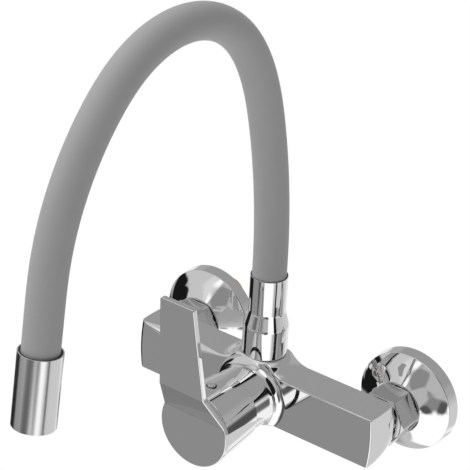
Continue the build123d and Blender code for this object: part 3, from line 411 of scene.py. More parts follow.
def casting_surface(sizes):
    """Body casting seen from a point inside it: every ray meets its surface once.

    Rows run from the tip of one end over the length of the bar to the other tip, columns run round the
    bar's section; each ray goes from the middle through such a point of the plain bar.
    """
    corners = ((BAR_FRONT, -BAR_HALF), (BAR_FRONT, BAR_HALF), (BAR_BACK, BAR_HALF), (FOOT_OUT, FOOT_Z))
    corners = np.array(corners)
    middle = np.array((CAST_OUT, 0.0))
    sides = np.roll(corners, -1, axis=0) - corners
    section = [
        corner + side * stations(np.linalg.norm(side), *BAR_STEPS)[:, None]
        for corner, side in zip(corners, sides)
    ]
    section = np.concatenate(section) - middle
    # Rows lie close together at the rim of each end, and closer round the housing than beside it
    near_end, near_tip = np.array(END_GAPS) / END_HALF, np.array(TIP_GAPS) / BAR_HALF_LENGTH
    shrink = np.concatenate([np.linspace(*END_ROWS), 1 - near_end])
    half = np.concatenate([1 - near_tip, np.linspace(*BESIDE_ROWS), np.linspace(*HOUSING_ROWS)])
    along = np.concatenate([half, -half[-2::-1]])
    reach = np.concatenate([np.ones(len(shrink)), along, -np.ones(len(shrink))])
    shrink = np.concatenate([shrink, np.ones(len(along)), shrink[::-1]])
    ring = shrink[:, None, None] * section
    over = ring + middle - (SPOUT_OUT, 0)
    end_x = BAR_TIP - BAR_END_R + np.sqrt(BAR_END_R**2 - (over**2).sum(-1))
    targets = placed(reach[:, None] * end_x, ring[..., 0], ring[..., 1])
    field = casting_field(sizes)
    start = np.array((0.0, -CAST_OUT, AXIS_Z))
    points, normals = cast(field, start, targets, CAST_REACH)

    mouth = np.array((0.0, -CHAMBER_MOUTH, AXIS_Z))
    face = (points - mouth) @ OUT > -FACE_PLAY
    rim, depth = HOUSING_R - sizes.bar_edge / 2, CHAMBER_MOUTH - CHAMBER_FLOOR
    points[face], normals[face] = sunk(points[face], mouth, OUT, rim, CHAMBER_R, depth)
    top = np.array((0.0, -SPOUT_OUT, AXIS_Z + BOSS_TOP))
    rim, depth = SOCKET_R - TAIL_HOLE_EDGE, BOSS_TOP - TAIL_HOLE_FLOOR
    arm = points - top
    face = (arm[:, 2] > -FACE_PLAY) & (np.hypot(arm[:, 0], arm[:, 1]) < rim)
    points[face], normals[face] = sunk(points[face], top, UP, rim, TAIL_HOLE_R, depth)
    return shell(points.reshape(targets.shape), normals.reshape(targets.shape))


def nut_surface(x, sizes):
    """Hexagon nut: at each angle rays go from a ring inside the wall and meet flats, chamfers and end faces.

    The flats are the high power mean of the three distances across, which rounds the six corners a little.
    """
    soft = sizes.nut_edge
    slant = NUT_CORNER - NUT_HALF
    length = np.hypot(slant, NUT_CHAMFER)
    axes = np.radians((30.0, 90.0, 150.0))

    def field(points):
        side, up, out = points[:, 0] - x, points[:, 2] - AXIS_Z, -points[:, 1]
        across = np.abs(side[:, None] * np.cos(axes) + up[:, None] * np.sin(axes)) / NUT_HALF
        flats = NUT_HALF * ((across**NUT_POWER).sum(1) ** (1 / NUT_POWER) - 1)
        r = np.hypot(side, up)
        front = ((r - NUT_HALF) * NUT_CHAMFER + (out - NUT_FRONT) * slant) / length
        back = ((r - NUT_HALF) * NUT_CHAMFER + (NUT_BACK - out) * slant) / length
        cone = round_max(np.maximum(front, back), flats, soft / 2)
        return round_max(cone, np.maximum(out - NUT_FRONT, NUT_BACK - out), soft)

    spokes = wheel(NUT_COLUMNS, UP)
    middle, half = (NUT_BACK + NUT_FRONT) / 2, (NUT_FRONT - NUT_BACK) / 2
    run = stations(2 * half, *NUT_STEPS)
    cap, shrink = np.ones(NUT_CAP_ROWS), np.linspace(0, NUT_CAP_SHARE, NUT_CAP_ROWS)
    out = half * np.concatenate([-cap, 2 * run - 1, cap])
    far = (NUT_CORNER - NUT_RING_R) * np.concatenate([shrink, np.ones(len(run)), shrink[::-1]])
    targets = far[:, None, None] * spokes + out[:, None, None] * OUT
    starts = np.broadcast_to(NUT_RING_R * spokes, targets.shape).reshape(-1, 3)
    starts = starts + np.array((x, -middle, AXIS_Z))
    points, normals = cast(field, starts, targets, NUT_REACH)
    outside = shell(points.reshape(targets.shape), normals.reshape(targets.shape))
    bore = stepped(NUT_RING_R, NUT_FRONT, NUT_LIP_BORE, NUT_LIP_BACK, NUT_BORE, NUT_BACK, NUT_RING_R)
    return [outside, revolve(bore, soft, (x, 0, AXIS_Z), NUT_COLUMNS, closed=False)]


def hose_route():
    """Middle line of the hose and its directions, both as (out, up).

    Its lean is a steady turn along each run, averaged over a short window. Out is the sum of sin(lean), up is
    the sum of cos(lean); what the averaging moves the far end by is taken back smoothly along the line.
    """
    lengths, turns = np.array(HOSE_RUNS).T
    knots = np.concatenate([[0], np.cumsum(lengths)])
    leans = np.radians(np.concatenate([[0], np.cumsum(turns)]))
    s = np.linspace(0, knots[-1], HOSE_STEPS + 1)
    window = np.linspace(-HOSE_BLUR, HOSE_BLUR, HOSE_SAMPLES)
    smooth = np.interp(s[:, None] + window, knots, leans).mean(1)

    def walked(lean):
        way = joined(np.sin(lean), np.cos(lean))
        steps = (way[1:] + way[:-1]) / 2 * np.diff(s)[:, None]
        return np.concatenate([np.zeros((1, 2)), np.cumsum(steps, 0)]) + (SPOUT_OUT, HOSE_FOOT)

    route, plain = walked(smooth), walked(np.interp(s, knots, leans))
    route += (plain[-1] - route[-1]) * eased(s / s[-1])[:, None]
    return route[::HOSE_STRIDE], unit(np.gradient(route, s, axis=0)[::HOSE_STRIDE])


def nozzle_axis():
    """Middle of the nozzle's upper rim and the direction of its axis: the hose's last direction."""
    route, way = hose_route()
    along = placed(0, *way[-1])
    return placed(0, *route[-1]) - NOZZLE_GRIP * along, along


def hose_surface():
    """Circle carried along the hose's middle line, closed at both ends by shrinking it to a point."""
    route, way = hose_route()
    count, shut = len(route), len(HOSE_SHUT)
    order = np.concatenate([np.zeros(shut, int), np.arange(count), np.full(shut, count - 1)])
    radius = HOSE_R * np.concatenate([HOSE_SHUT, np.ones(count), HOSE_SHUT[::-1]])
    middle, side = placed(0, *route.T)[order], placed(0, -way[:, 1], way[:, 0])[order]
    spokes = wheel(HOSE_COLUMNS, side[:, None, :])
    points = middle[:, None, :] + radius[:, None, None] * spokes
    normals = spokes.copy()
    normals[: shut - 1], normals[1 - shut :] = -placed(0, *way[0]), placed(0, *way[-1])
    return shell(points, normals)


def plate_surfaces(sizes):
    """Lever plate: its outline in front view, carried from the bent front face to the back one.

    A point of the outline with height z lies between the front line and the back line at that height. The
    edge is a quarter circle, a straight stretch and a quarter circle; both faces are filled towards a spine.
    """
    edge, tip_corner = sizes.plate_edge, sizes.blade_corner
    spare = 0.004  # run of the bent lines past the outline
    window = np.linspace(-0.0025, 0.0025, 21)  # averaging that softens the outline's kinks
    near, ease = 0.003, 0.006  # finer steps round a kink, run that leads back to the unsoftened ends
    low_share, pull = -0.3, 0.8  # height where the disc's lower arc ends, spine's share of what lies below
    spine_start, spine_end = TIP_Z - 0.012, TIP_Z - 0.0016
    lean = (TIP_OUT - SLOPE_OUT) / (TIP_Z - SLOPE_Z)
    front, way = rounded_line(
        (
            (DISC_FRONT, -DISC_R - spare),
            (DISC_FRONT, WAIST_Z),
            (SLOPE_OUT, SLOPE_Z),
            (TIP_OUT + spare * lean, TIP_Z + spare),
        ),
        (0, BEND_R, BEND_R, 0),
    )
    facing = joined(way[:, 1], -way[:, 0])
    back = front - PLATE * facing

    def line_at(line, z):
        return np.interp(z, line[:, 1], line[:, 0])

    def facing_at(line, z):
        out, up = (np.interp(z, line[:, 1], part) for part in facing.T)
        return unit(placed(0, out, up))

    def half_width(z):
        disc = np.sqrt(np.maximum(DISC_R**2 - np.minimum(z, WAIST_Z) ** 2, 0))
        waist = np.sqrt(DISC_R**2 - WAIST_Z**2)
        blade = np.interp(z, (WAIST_Z, SLOPE_Z, TIP_Z), (waist, SLOPE_HALF, TIP_HALF))
        return np.where(z < WAIST_Z, disc, blade)

    low_z, tip_start = low_share * DISC_R, TIP_Z - tip_corner
    angle = np.linspace(-pi / 2, np.arcsin(low_share), ARC_STEPS, endpoint=False)
    bottom_way = circled(angle)
    bottom = DISC_R * bottom_way
    stops = (low_z, WAIST_Z - near, WAIST_Z + near, SLOPE_Z - near, SLOPE_Z + near, tip_start)
    z = [np.linspace(*run, endpoint=False) for run in zip(stops, stops[1:], PLATE_STEPS)]
    z = np.concatenate([*z, [tip_start]])
    width = half_width(z[:, None] + window).mean(1)
    width += (half_width(z[:1]) - width[:1]) * np.clip(1 - (z - low_z) / ease, 0, 1)
    width += (half_width(z[-1:]) - width[-1:]) * np.clip(1 - (tip_start - z) / ease, 0, 1)
    side, side_way = joined(width, z), unit(joined(1, -np.gradient(width, z)))
    angle = np.linspace(0, pi / 2, CORNER_STEPS)[1:]
    corner_way = circled(angle)
    corner = joined(width[-1] - tip_corner * (1 - np.cos(angle)), tip_start + tip_corner * np.sin(angle))
    tip = joined(np.linspace(corner[-1, 0], 0, TIP_STEPS)[1:], TIP_Z)
    tip_way = np.broadcast_to((0.0, 1.0), tip.shape)
    outline = np.concatenate([bottom, side, corner, tip])
    outward = np.concatenate([bottom_way, side_way, corner_way, tip_way])
    gap = np.concatenate([[0], np.cumsum(np.linalg.norm(np.diff(outline, axis=0), axis=1))])
    spine = outline[:, 1].copy()
    spine[: len(bottom)] = low_z + pull * (spine[: len(bottom)] - low_z)
    high = spine > spine_start
    spine[high] = np.interp(gap[high], (gap[high][0], gap[-1]), (spine[high][0], spine_end))
    outline, outward = (np.concatenate([half, half[-2:0:-1] * (-1, 1)]) for half in (outline, outward))
    spine = np.concatenate([spine, spine[-2:0:-1]])

    bend = np.linspace(0, pi / 2, BEND_STEPS)
    inset = edge * np.concatenate([1 - np.sin(bend), 1 - np.cos(bend)])
    deep = np.concatenate([edge * (1 - np.cos(bend)), PLATE - edge * (1 - np.sin(bend))])
    turn = np.concatenate([bend, pi / 2 - bend])[:, None, None]
    flat = outline - inset[:, None, None] * outward

    def laid(flat, deep):
        out, rear = line_at(front, flat[..., 1]), line_at(back, flat[..., 1])
        return placed(flat[..., 0], out + (rear - out) * deep / PLATE, flat[..., 1] + AXIS_Z)

    rows = len(bend)
    ways = [facing_at(front, flat[:rows, :, 1]), -facing_at(back, flat[rows:, :, 1])]
    outward = placed(outward[:, 0], 0, outward[:, 1])
    normals = np.cos(turn) * np.concatenate(ways) + np.sin(turn) * outward

    def filled(rim, deep, line, sign):
        flat = rim + np.linspace(0, 1, FILL_STEPS)[:, None, None] * (joined(0, spine) - rim)
        return shell(laid(flat, deep), sign * facing_at(line, flat[..., 1]))

    edge_shell = shell(laid(flat, deep[:, None]), unit(normals))
    return [edge_shell, filled(flat[0], 0.0, front, 1), filled(flat[-1], PLATE, back, -1)]


# Finishes -------------------------------------------------------------------------------------------------

def feed(tree, into, value):
    """Link a socket to an input, or give the input a plain value."""
    if isinstance(value, bpy.types.NodeSocket):
        tree.links.new(value, into)
    else:
        into.default_value = value


def add_node(tree, kind, **values):
    """Node of that kind with its settings; a name that is no setting is the name of an input."""
    node = tree.nodes.new(kind)
    for name, value in values.items():
        if hasattr(node, name):
            setattr(node, name, value)
        else:
            feed(tree, node.inputs[name.replace("_", " ")], value)
    return node


def result(tree, kind, *values, **settings):
    """First output of a new node whose inputs are fed in their order with sockets or plain values."""
    node = add_node(tree, kind, **settings)
    for into, value in zip([socket for socket in node.inputs if socket.enabled], values):
        feed(tree, into, value)
    return next(socket for socket in node.outputs if socket.enabled)


def smooth_step(tree, value, low, high):
    """Output that rises smoothly from 0 to 1 between two values."""
    return result(tree, "ShaderNodeMapRange", value, low, high, interpolation_type="SMOOTHSTEP")


def number(tree, operation, *values):
    """Output of a math node that works on sockets or plain numbers."""
    return result(tree, "ShaderNodeMath", *values, operation=operation)


def new_group(name, inputs, outputs):
    """Node group with number sockets of these names, its input node's sockets and its output node."""
    group = bpy.data.node_groups.new(name, "ShaderNodeTree")
    for in_out, names in (("INPUT", inputs), ("OUTPUT", outputs)):
        for socket in names:
            group.interface.new_socket(socket, in_out=in_out, socket_type="NodeSocketFloat")
    return group, group.nodes.new("NodeGroupInput").outputs, group.nodes.new("NodeGroupOutput")


def object_place(tree):
    """Place on the piece's own coordinates."""
    return tree.nodes.new("ShaderNodeTexCoord").outputs["Object"]


def surface_mottle():
    """Node group: soft cloudy patches and a fine grain on the piece's own coordinates, both from 0 to 1."""
    group = bpy.data.node_groups.get("surface_mottle")
    if group:
        return group
    group, given, outputs = new_group("surface_mottle", ("Patch Scale", "Grain Scale"), ("Patches", "Grain"))
    where = object_place(group)
    for name, scale, detail in (("Patches", "Patch Scale", 3.0), ("Grain", "Grain Scale", 4.0)):
        sizes = {"Scale": given[scale], "Detail": detail, "Roughness": 0.55}
        noise = add_node(group, "ShaderNodeTexNoise", Vector=where, **sizes)
        feed(group, outputs.inputs[name], noise.outputs["Fac"])
    return group


def finish(kind, name=None):
    """Principled finish of that kind: colour and roughness drift with the patches, the grain gives relief.

    The finishes of the visible pieces take their colour and gloss from the settings.
    """
    look = bpy.context.scene.faucet_finish
    plated, moulded = ((35, 1400), (0.02, 2e-6)), ((60, 2600), (0.25, 2e-5))
    table = {  # name, colour and its drift, metallic, roughness and its drift, scales, strength and depth
        "chrome": ("polished_chrome", look.chrome, 0.012, 1.0, look.chrome_roughness, 0.012, *plated),
        "satin": ("satin_chrome", look.chrome, 0.02, 1.0, look.satin_roughness, 0.02, *plated),
        "nuts": ("nut_plating", look.nuts, 0.03, 1.0, look.nut_roughness, 0.02, *plated),
        "silicone": ("grey_silicone", look.hose, 0.03, 0.0, look.hose_roughness, 0.05, *moulded),
        "brass": ("machined_brass", (0.66, 0.46, 0.2), 0.06, 1.0, 0.28, 0.06, (50, 900), (0.12, 1e-5)),
        "steel": ("turned_steel", (0.56, 0.56, 0.57), 0.05, 1.0, 0.3, 0.06, (60, 1200), (0.1, 1e-5)),
        "ceramic": ("lapped_ceramic", (0.82, 0.81, 0.78), 0.03, 0.0, 0.25, 0.05, (80, 1500), (0.05, 5e-6)),
        "plastic": ("moulded_plastic", (0.62, 0.63, 0.64), 0.05, 0.0, 0.42, 0.06, (70, 1600), (0.15, 1e-5)),
        "seal": ("black_rubber", (0.025, 0.025, 0.026), 0.15, 0.0, 0.6, 0.08, (90, 2200), (0.2, 1e-5)),
    }
    usual, colour, shade, metallic, rough, span, (patch, grain), (strength, depth) = table[kind]
    material = bpy.data.materials.get(name or usual)
    if material:
        return material
    material = bpy.data.materials.new(name or usual)
    material.use_nodes = True
    material.diffuse_color = (*colour, 1)
    tree, mottle = material.node_tree, surface_mottle()
    mottle = add_node(tree, "ShaderNodeGroup", node_tree=mottle, Patch_Scale=patch, Grain_Scale=grain).outputs
    patches = mottle["Patches"]
    dark, light = ([*(min(1, c * (1 + drift)) for c in colour), 1] for drift in (-shade, shade))
    relief = add_node(tree, "ShaderNodeBump", Strength=strength, Distance=depth, Height=mottle["Grain"])
    sockets = {
        "Base Color": result(tree, "ShaderNodeMix", patches, dark, light, data_type="RGBA"),
        "Roughness": result(tree, "ShaderNodeMapRange", patches, 0.0, 1.0, rough - span, rough + span),
        "Metallic": metallic,
        "Normal": relief.outputs["Normal"],
    }
    if kind == "silicone":
        sockets |= {"Sheen Weight": 0.1, "Sheen Roughness": 0.4, "Specular IOR Level": 0.35}
    for socket, value in sockets.items():
        feed(tree, tree.nodes["Principled BSDF"].inputs[socket], value)
    return material


def paint_shade_beyond(material, value, start):
    """Paint a plated finish black and matt, as painted shade, wherever the value lies beyond its start."""
    tree = material.node_tree
    mask = result(tree, "ShaderNodeMapRange", value, start, start + PAINTED_SHADE_BLEND)
    # black, matt and not metallic: painted shade in place of the plating
    for name, rubber, data_type in (
        ("Base Color", (0.02, 0.02, 0.02, 1), "RGBA"),
        ("Roughness", 0.6, "FLOAT"),
        ("Metallic", 0.0, "FLOAT"),
    ):
        into = tree.nodes["Principled BSDF"].inputs[name]
        plated = into.links[0].from_socket if into.is_linked else into.default_value
        feed(tree, into, result(tree, "ShaderNodeMix", mask, plated, rubber, data_type=data_type))


def plug_finish():
    """Plated dome inside a ring painted black as the shade of the groove round the plug: the two meet at a
    fixed distance from the plug's axis.
    """
    material = finish("chrome", "plug_chrome_and_painted_shade_ring")
    tree = material.node_tree
    flat = result(tree, "ShaderNodeVectorMath", object_place(tree), (1, 1, 0), operation="MULTIPLY")
    distance = result(tree, "ShaderNodeVectorMath", flat, (0, -PLUG_OUT, 0), operation="DISTANCE")
    # beyond the dome the plug is painted black, the painted shade of the groove round it
    paint_shade_beyond(material, distance, PLUG_DOME_R)
    return material


def lever_finish():
    """Plated lever whose hub's back face is painted black as the shade of the gap to the housing, told apart
    by the distance out.
    """
    material = finish("chrome", "lever_chrome_and_painted_shade_ring")
    tree = material.node_tree
    parts = add_node(tree, "ShaderNodeSeparateXYZ", Vector=object_place(tree))
    # the hub's back face is painted black: painted shade of the gap to the housing
    paint_shade_beyond(material, parts.outputs["Y"], -PAINTED_SHADE_RING_FRONT)
    return material


# Settings -------------------------------------------------------------------------------------------------

def length(name, description, default):
    """Setting for a length that is never negative."""
    limits = {"min": 0, "precision": 5}
    return FloatProperty(name=name, description=description, default=default, unit="LENGTH", **limits)


def gloss(name, description, default):
    """Setting for a roughness from 0 to 1."""
    return FloatProperty(name=name, description=description, default=default, min=0, max=1, subtype="FACTOR")


def colour(name, description, grey):
    """Setting for a colour that is a neutral grey by default."""
    return FloatVectorProperty(name=name, description=description, default=(grey,) * 3, subtype="COLOR")


def angle(name, description, degrees):
    """Setting for an angle with its default in degrees."""
    return FloatProperty(name=name, description=description, default=radians(degrees), subtype="ANGLE")


class FaucetSizes(bpy.types.PropertyGroup):
    """Sizes of edges and blends that a user may change."""

    bar_edge: length("Bar edge", "Rounding of the casting's outer edges", 0.0009)
    housing_flare: length("Housing flare", "Hollow rounding between the bar and the round housing", 0.006)
    left_shoulder: length("Left shoulder", "Extra rounding of the bar's upper front edge on the left", 0.007)
    left_heel: length("Left heel", "Rounding of the left end's front and lower edges", 0.004)
    boss_crown: length("Boss crown", "Rounding of the spout boss's upper rim", 0.0025)
    plate_edge: length("Plate edge", "Rounding of the lever plate's edges", 0.0006)
    blade_corner: length("Blade corner", "Rounding of the two corners at the blade's tip", 0.0016)
    nut_edge: length("Nut edge", "Rounding of the union nuts' edges", 0.0003)
    rim_edge: length("Rim edge", "Rounding of the turned pieces' edges", 0.00035)


class FaucetFinish(bpy.types.PropertyGroup):
    """Colours and gloss of the visible pieces."""

    chrome: colour("Chrome", "Colour of the plated pieces", 0.88)
    chrome_roughness: gloss("Chrome roughness", "Blur of the plating", 0.035)
    satin_roughness: gloss("Satin roughness", "Blur of the nozzle's plating", 0.2)
    nuts: colour("Nuts", "Colour of the union nuts", 0.64)
    nut_roughness: gloss("Nut roughness", "Blur of the nuts' plating", 0.11)
    hose: colour("Hose", "Colour of the silicone sleeve", 0.38)
    hose_roughness: gloss("Hose roughness", "Blur of the silicone", 0.55)


class FaucetStage(bpy.types.PropertyGroup):
    """Camera and floor."""

    azimuth: angle("Azimuth", "Viewing direction round the faucet", 35.7)
    elevation: angle("Elevation", "Viewing direction above the level", 27.48)
    roll: angle("Roll", "Tilt of the picture", 3.41)
    focal_length: FloatProperty(
        name="Focal length", description="Lens, in millimetres on a 36 mm frame", default=153.19, min=1
    )
    camera_place: FloatVectorProperty(
        name="Camera", description="Place of the camera", subtype="XYZ", unit="LENGTH",
        default=(0.58290, -0.89921, 0.62740),
    )
    floor_height: FloatProperty(
        name="Floor", description="Height of the floor below the faucet", unit="LENGTH", default=-0.42
    )
    floor_colour: colour("Floor colour", "Pale floor", 0.86)


# Operators ------------------------------------------------------------------------------------------------

class BuildCasting(bpy.types.Operator):
    """Build the body casting: bar, saddle, spout boss and cartridge housing"""

    bl_idname = "faucet.body_casting"
    bl_label = "Body casting"

    def execute(self, context):
        sizes = context.scene.faucet_sizes
        rim = sizes.rim_edge
        collar = stepped(CHAMBER_MOUTH_R, COLLAR_BACK, HOUSING_R + COLLAR_PLAY, SEAM_OUT, CHAMBER_MOUTH_R)
        edges = (rim, rim / COLLAR_KEEN, rim, rim)
        inlet = stepped(INLET_BOSS_BORE, INLET_BOSS_BACK, INLET_BOSS_R, INLET_BOSS_END, INLET_BOSS_BORE)
        shells = [casting_surface(sizes), revolve(collar, edges, (0, 0, AXIS_Z), columns=256)]
        shells += [revolve(inlet, rim, (x, 0, AXIS_Z), columns=96) for _, x in SIDES]
        new_piece("body_casting_chromed", shells, "body", ["body_casting"], finish("chrome"))
        return {"FINISHED"}


class BuildFlanges(bpy.types.Operator):
    """Build the two pressed wall flanges"""

    bl_idname = "faucet.flanges"
    bl_label = "Wall flanges"

    def execute(self, context):
        rim = context.scene.faucet_sizes.rim_edge
        # The bell leaves rim and collar at its steep angle, and two arcs join these runs to a flatter middle
        collar, bell = np.array((FLANGE_COLLAR_R, FLANGE_DEPTH)), np.array((FLANGE_BELL_R, FLANGE_RIM))
        run = np.linalg.norm(collar - bell)
        bend = FLANGE_STEEP - np.arctan2(collar[1] - bell[1], bell[0] - collar[0])
        arc_r = FLANGE_ARC_SHARE * run / 4 / sin(bend)
        reach = run / 4 / cos(bend) * np.array((-cos(FLANGE_STEEP), sin(FLANGE_STEEP)))
        drop, shrink = np.array((0, FLANGE_WALL)), np.array((FLANGE_WALL, 0))
        outer = [bell, bell + reach, collar - reach, collar]
        corners = [(FLANGE_R, 0), *outer]
        corners += [(FLANGE_HOLE, FLANGE_DEPTH), (FLANGE_HOLE, FLANGE_DEPTH - FLANGE_WALL)]
        corners += [point - drop for point in outer[:0:-1]]
        corners += [bell - drop - shrink, (FLANGE_BELL_R - FLANGE_WALL, 0)]
        edges = (rim, FLANGE_CREASE, arc_r, arc_r, rim, rim, rim, rim, arc_r, FLANGE_RIM / 2, rim, rim)
        for side, x in SIDES:
            name, surface = f"flange_{side}", revolve(corners, edges, (x, 0, AXIS_Z), columns=256)
            new_piece(f"{name}_chromed", [surface], "body", [name], finish("chrome"))
        return {"FINISHED"}


class BuildUnionNuts(bpy.types.Operator):
    """Build the two hexagon union nuts"""

    bl_idname = "faucet.union_nuts"
    bl_label = "Union nuts"

    def execute(self, context):
        for side, x in SIDES:
            name, surfaces = f"union_nut_{side}", nut_surface(x, context.scene.faucet_sizes)
            new_piece(f"{name}_chromed", surfaces, "body", [name], finish("nuts"))
        return {"FINISHED"}


class BuildLever(bpy.types.Operator):
    """Build the lever: hollow hub, round disc, sloping stretch and blade"""

    bl_idname = "faucet.lever"
    bl_label = "Lever"

    def execute(self, context):
        sizes = context.scene.faucet_sizes
        rim = sizes.rim_edge
        into_plate = DISC_BACK + PLATE / 4
        slant = (DISC_R - SKIRT_R) / (DISC_BACK - HUB_BACK)
        front_r = SKIRT_R + slant * (into_plate - HUB_BACK) - SKIRT_INSET
        hub = [*stepped(0, GRIP_FRONT, SKIRT_BORE, HUB_BACK, SKIRT_R), (front_r, into_plate), (0, into_plate)]
        edges, axis = (0, SKIRT_FLOOR_R, rim, rim, rim, 0), (0, 0, AXIS_Z)
        grip = stepped(GRIP_BORE, GRIP_BACK, GRIP_R, GRIP_FRONT + rim, GRIP_BORE)
        shells = [*plate_surfaces(sizes), revolve(hub, edges, axis, columns=256, closed=False)]
        shells.append(revolve(grip, rim, axis, columns=64))
        new_piece("lever_chromed", shells, "lever", ["lever"], lever_finish())
        return {"FINISHED"}


class BuildScrewPlug(bpy.types.Operator):
    """Build the small domed plug over the lever's set screw"""

    bl_idname = "faucet.screw_plug"
    bl_label = "Screw plug"

    def execute(self, context):
        corners = stepped(
            0, PLUG_SHANK_END, PLUG_SHANK_R, 0, PLUG_R, PLUG_RING_RISE, PLUG_DOME_R, PLUG_RISE, 0
        )
        place = (0, -PLUG_OUT, AXIS_Z + PLUG_SEAT)
        surface = revolve(corners, PLUG_EDGES, place, columns=72, along=UP, closed=False)
        new_piece("screw_plug_chromed", [surface], "lever", ["screw_plug"], plug_finish())
        return {"FINISHED"}


class BuildSocket(bpy.types.Operator):
    """Build the socket that holds the hose above the spout boss"""

    bl_idname = "faucet.spout_socket"
    bl_label = "Spout socket"

    def execute(self, context):
        rim = context.scene.faucet_sizes.rim_edge
        seat = SOCKET_TOP - SEAL_SEAT
        corners = [
            *stepped(SPIGOT_BORE, SOCKET_BASE, SOCKET_R, SOCKET_CONE_LOW),
            (SOCKET_TOP_R, SOCKET_CONE_HIGH),
            *stepped(SOCKET_TOP_R, SOCKET_TOP, SOCKET_SEAL_R, seat, HOSE_BORE, SOCKET_STEP, SPIGOT_BORE),
        ]
        edges = (rim, rim, SOCKET_CONE_R, SOCKET_CONE_R, *(SEAL_EDGE,) * 4, rim, rim)
        surface = revolve(corners, edges, (0, -SPOUT_OUT, 0), columns=192, along=UP)
        new_piece("spout_socket_chromed", [surface], "spout", ["spout_socket"], finish("chrome"))
        return {"FINISHED"}


class BuildHose(bpy.types.Operator):
    """Build the grey silicone sleeve of the flexible spout"""

    bl_idname = "faucet.hose"
    bl_label = "Hose sleeve"

    def execute(self, context):
        surface, look = hose_surface(), finish("silicone")
        new_piece("hose_sleeve_silicone", [surface], "spout", ["hose_sleeve"], look)
        return {"FINISHED"}


class BuildNozzle(bpy.types.Operator):
    """Build the nozzle sleeve at the end of the hose"""

    bl_idname = "faucet.nozzle"
    bl_label = "Nozzle"

    def execute(self, context):
        rim = context.scene.faucet_sizes.rim_edge
        top, along = nozzle_axis()
        corners = [
            *stepped(NOZZLE_SEAL_R, 0, NOZZLE_R, NOZZLE_LENGTH, AERATOR_BORE),
            *stepped(AERATOR_BORE, AERATOR_SEAT, WATER_BORE, HOSE_STOP, HOSE_BORE, SEAL_SEAT, NOZZLE_SEAL_R),
        ]
        edges = (SEAL_EDGE, SEAL_EDGE, *(rim,) * 6, SEAL_EDGE, SEAL_EDGE)
        surface = revolve(corners, edges, top, columns=192, along=along)
        new_piece("nozzle_chromed", [surface], "spout", ["nozzle"], finish("satin"))
        return {"FINISHED"}


class BuildHoseSeals(bpy.types.Operator):
    """Build the black rubber rings between the hose and its socket and nozzle"""

    bl_idname = "faucet.hose_seals"
    bl_label = "Hose seals"

    def execute(self, context):
        top, along = nozzle_axis()
        for name, place, inwards, outer in (
            ("hose_seal_socket", np.array((0, -SPOUT_OUT, SOCKET_TOP)), -UP, SOCKET_SEAL_R),
            ("hose_seal_nozzle", top, along, NOZZLE_SEAL_R),
        ):
            corners = stepped(SEAL_BORE, SEAL_SINK, outer - SEAL_PLAY, SEAL_SEAT - SEAL_PLAY, SEAL_BORE)
            surface = revolve(corners, SEAL_EDGE, place, columns=128, along=inwards)
            new_piece(name, [surface], "spout", [], finish("seal"))
        return {"FINISHED"}


class DressInnerParts(bpy.types.Operator):
    """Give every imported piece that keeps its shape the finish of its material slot"""

    bl_idname = "faucet.inner_parts"
    bl_label = "Inner parts"

    def execute(self, context):
        for row in frame["record"]["subparts"]:
            materials = frame["nodes"][row["node"]].data.materials
            materials.clear()
            materials.append(finish(row["material_slot"]))
        return {"FINISHED"}


class SetStage(bpy.types.Operator):
    """Set the camera, the pale floor and the soft studio light"""

    bl_idname = "faucet.stage"
    bl_label = "Stage"

    def execute(self, context):
        scene = context.scene
        scene.view_settings.view_transform = "Standard"
        set_camera(scene, scene.faucet_stage)
        set_floor(scene, scene.faucet_stage)
        set_world(scene)
        set_lamp(scene)
        return {"FINISHED"}


# Stage ----------------------------------------------------------------------------------------------------

def set_camera(scene, stage):
    """Camera whose axes come from azimuth, elevation and roll."""
    azimuth, elevation, roll = stage.azimuth, stage.elevation, stage.roll
    back = np.array((sin(azimuth) * cos(elevation), -cos(azimuth) * cos(elevation), sin(elevation)))
    level = np.array((cos(azimuth), sin(azimuth), 0))
    upright = np.cross(back, level)
    columns = (cos(roll) * level + sin(roll) * upright, -sin(roll) * level + cos(roll) * upright, back)
    camera = bpy.data.cameras.new("photo_camera")
    camera.lens, camera.sensor_width = stage.focal_length, SENSOR
    camera.clip_start, camera.clip_end = CLIP_START, CLIP_END
    holder = bpy.data.objects.new("photo_camera", camera)
    holder.matrix_world = Matrix([*((*way, 0) for way in columns), (*stage.camera_place, 1)]).transposed()
    scene.collection.objects.link(holder)
    scene.camera = holder


def set_floor(scene, stage):
    """Round pale floor that fades to the white of the surround towards its rim."""
    points = np.linspace(0, FLOOR_R, FLOOR_RINGS)[:, None, None] * wheel(FLOOR_COLUMNS, -OUT)
    points += (0, FLOOR_MIDDLE, stage.floor_height)
    mesh = bpy.data.meshes.new("floor")
    flat, _, faces = shell(points, points)
    mesh.from_pydata(flat.tolist(), [], faces.tolist())
    mesh.update()
    material = bpy.data.materials.new("pale_floor")
    material.use_nodes = True
    tree = material.node_tree
    shader, output = tree.nodes["Principled BSDF"], tree.nodes["Material Output"]
    shader.inputs["Base Color"].default_value = (*stage.floor_colour, 1)
    shader.inputs["Roughness"].default_value = FLOOR_ROUGHNESS
    spot = (*FLOOR_SPOT, stage.floor_height)
    distance = result(tree, "ShaderNodeVectorMath", object_place(tree), spot, operation="DISTANCE")
    fade = smooth_step(tree, distance, FADE_START, FADE_END)
    white = add_node(tree, "ShaderNodeEmission", Strength=1.0).outputs["Emission"]
    mixed = result(tree, "ShaderNodeMixShader", fade, shader.outputs["BSDF"], white)
    feed(tree, output.inputs["Surface"], mixed)
    mesh.materials.append(material)
    floor = bpy.data.objects.new("floor", mesh)
    floor.visible_glossy = False
    scene.collection.objects.link(floor)


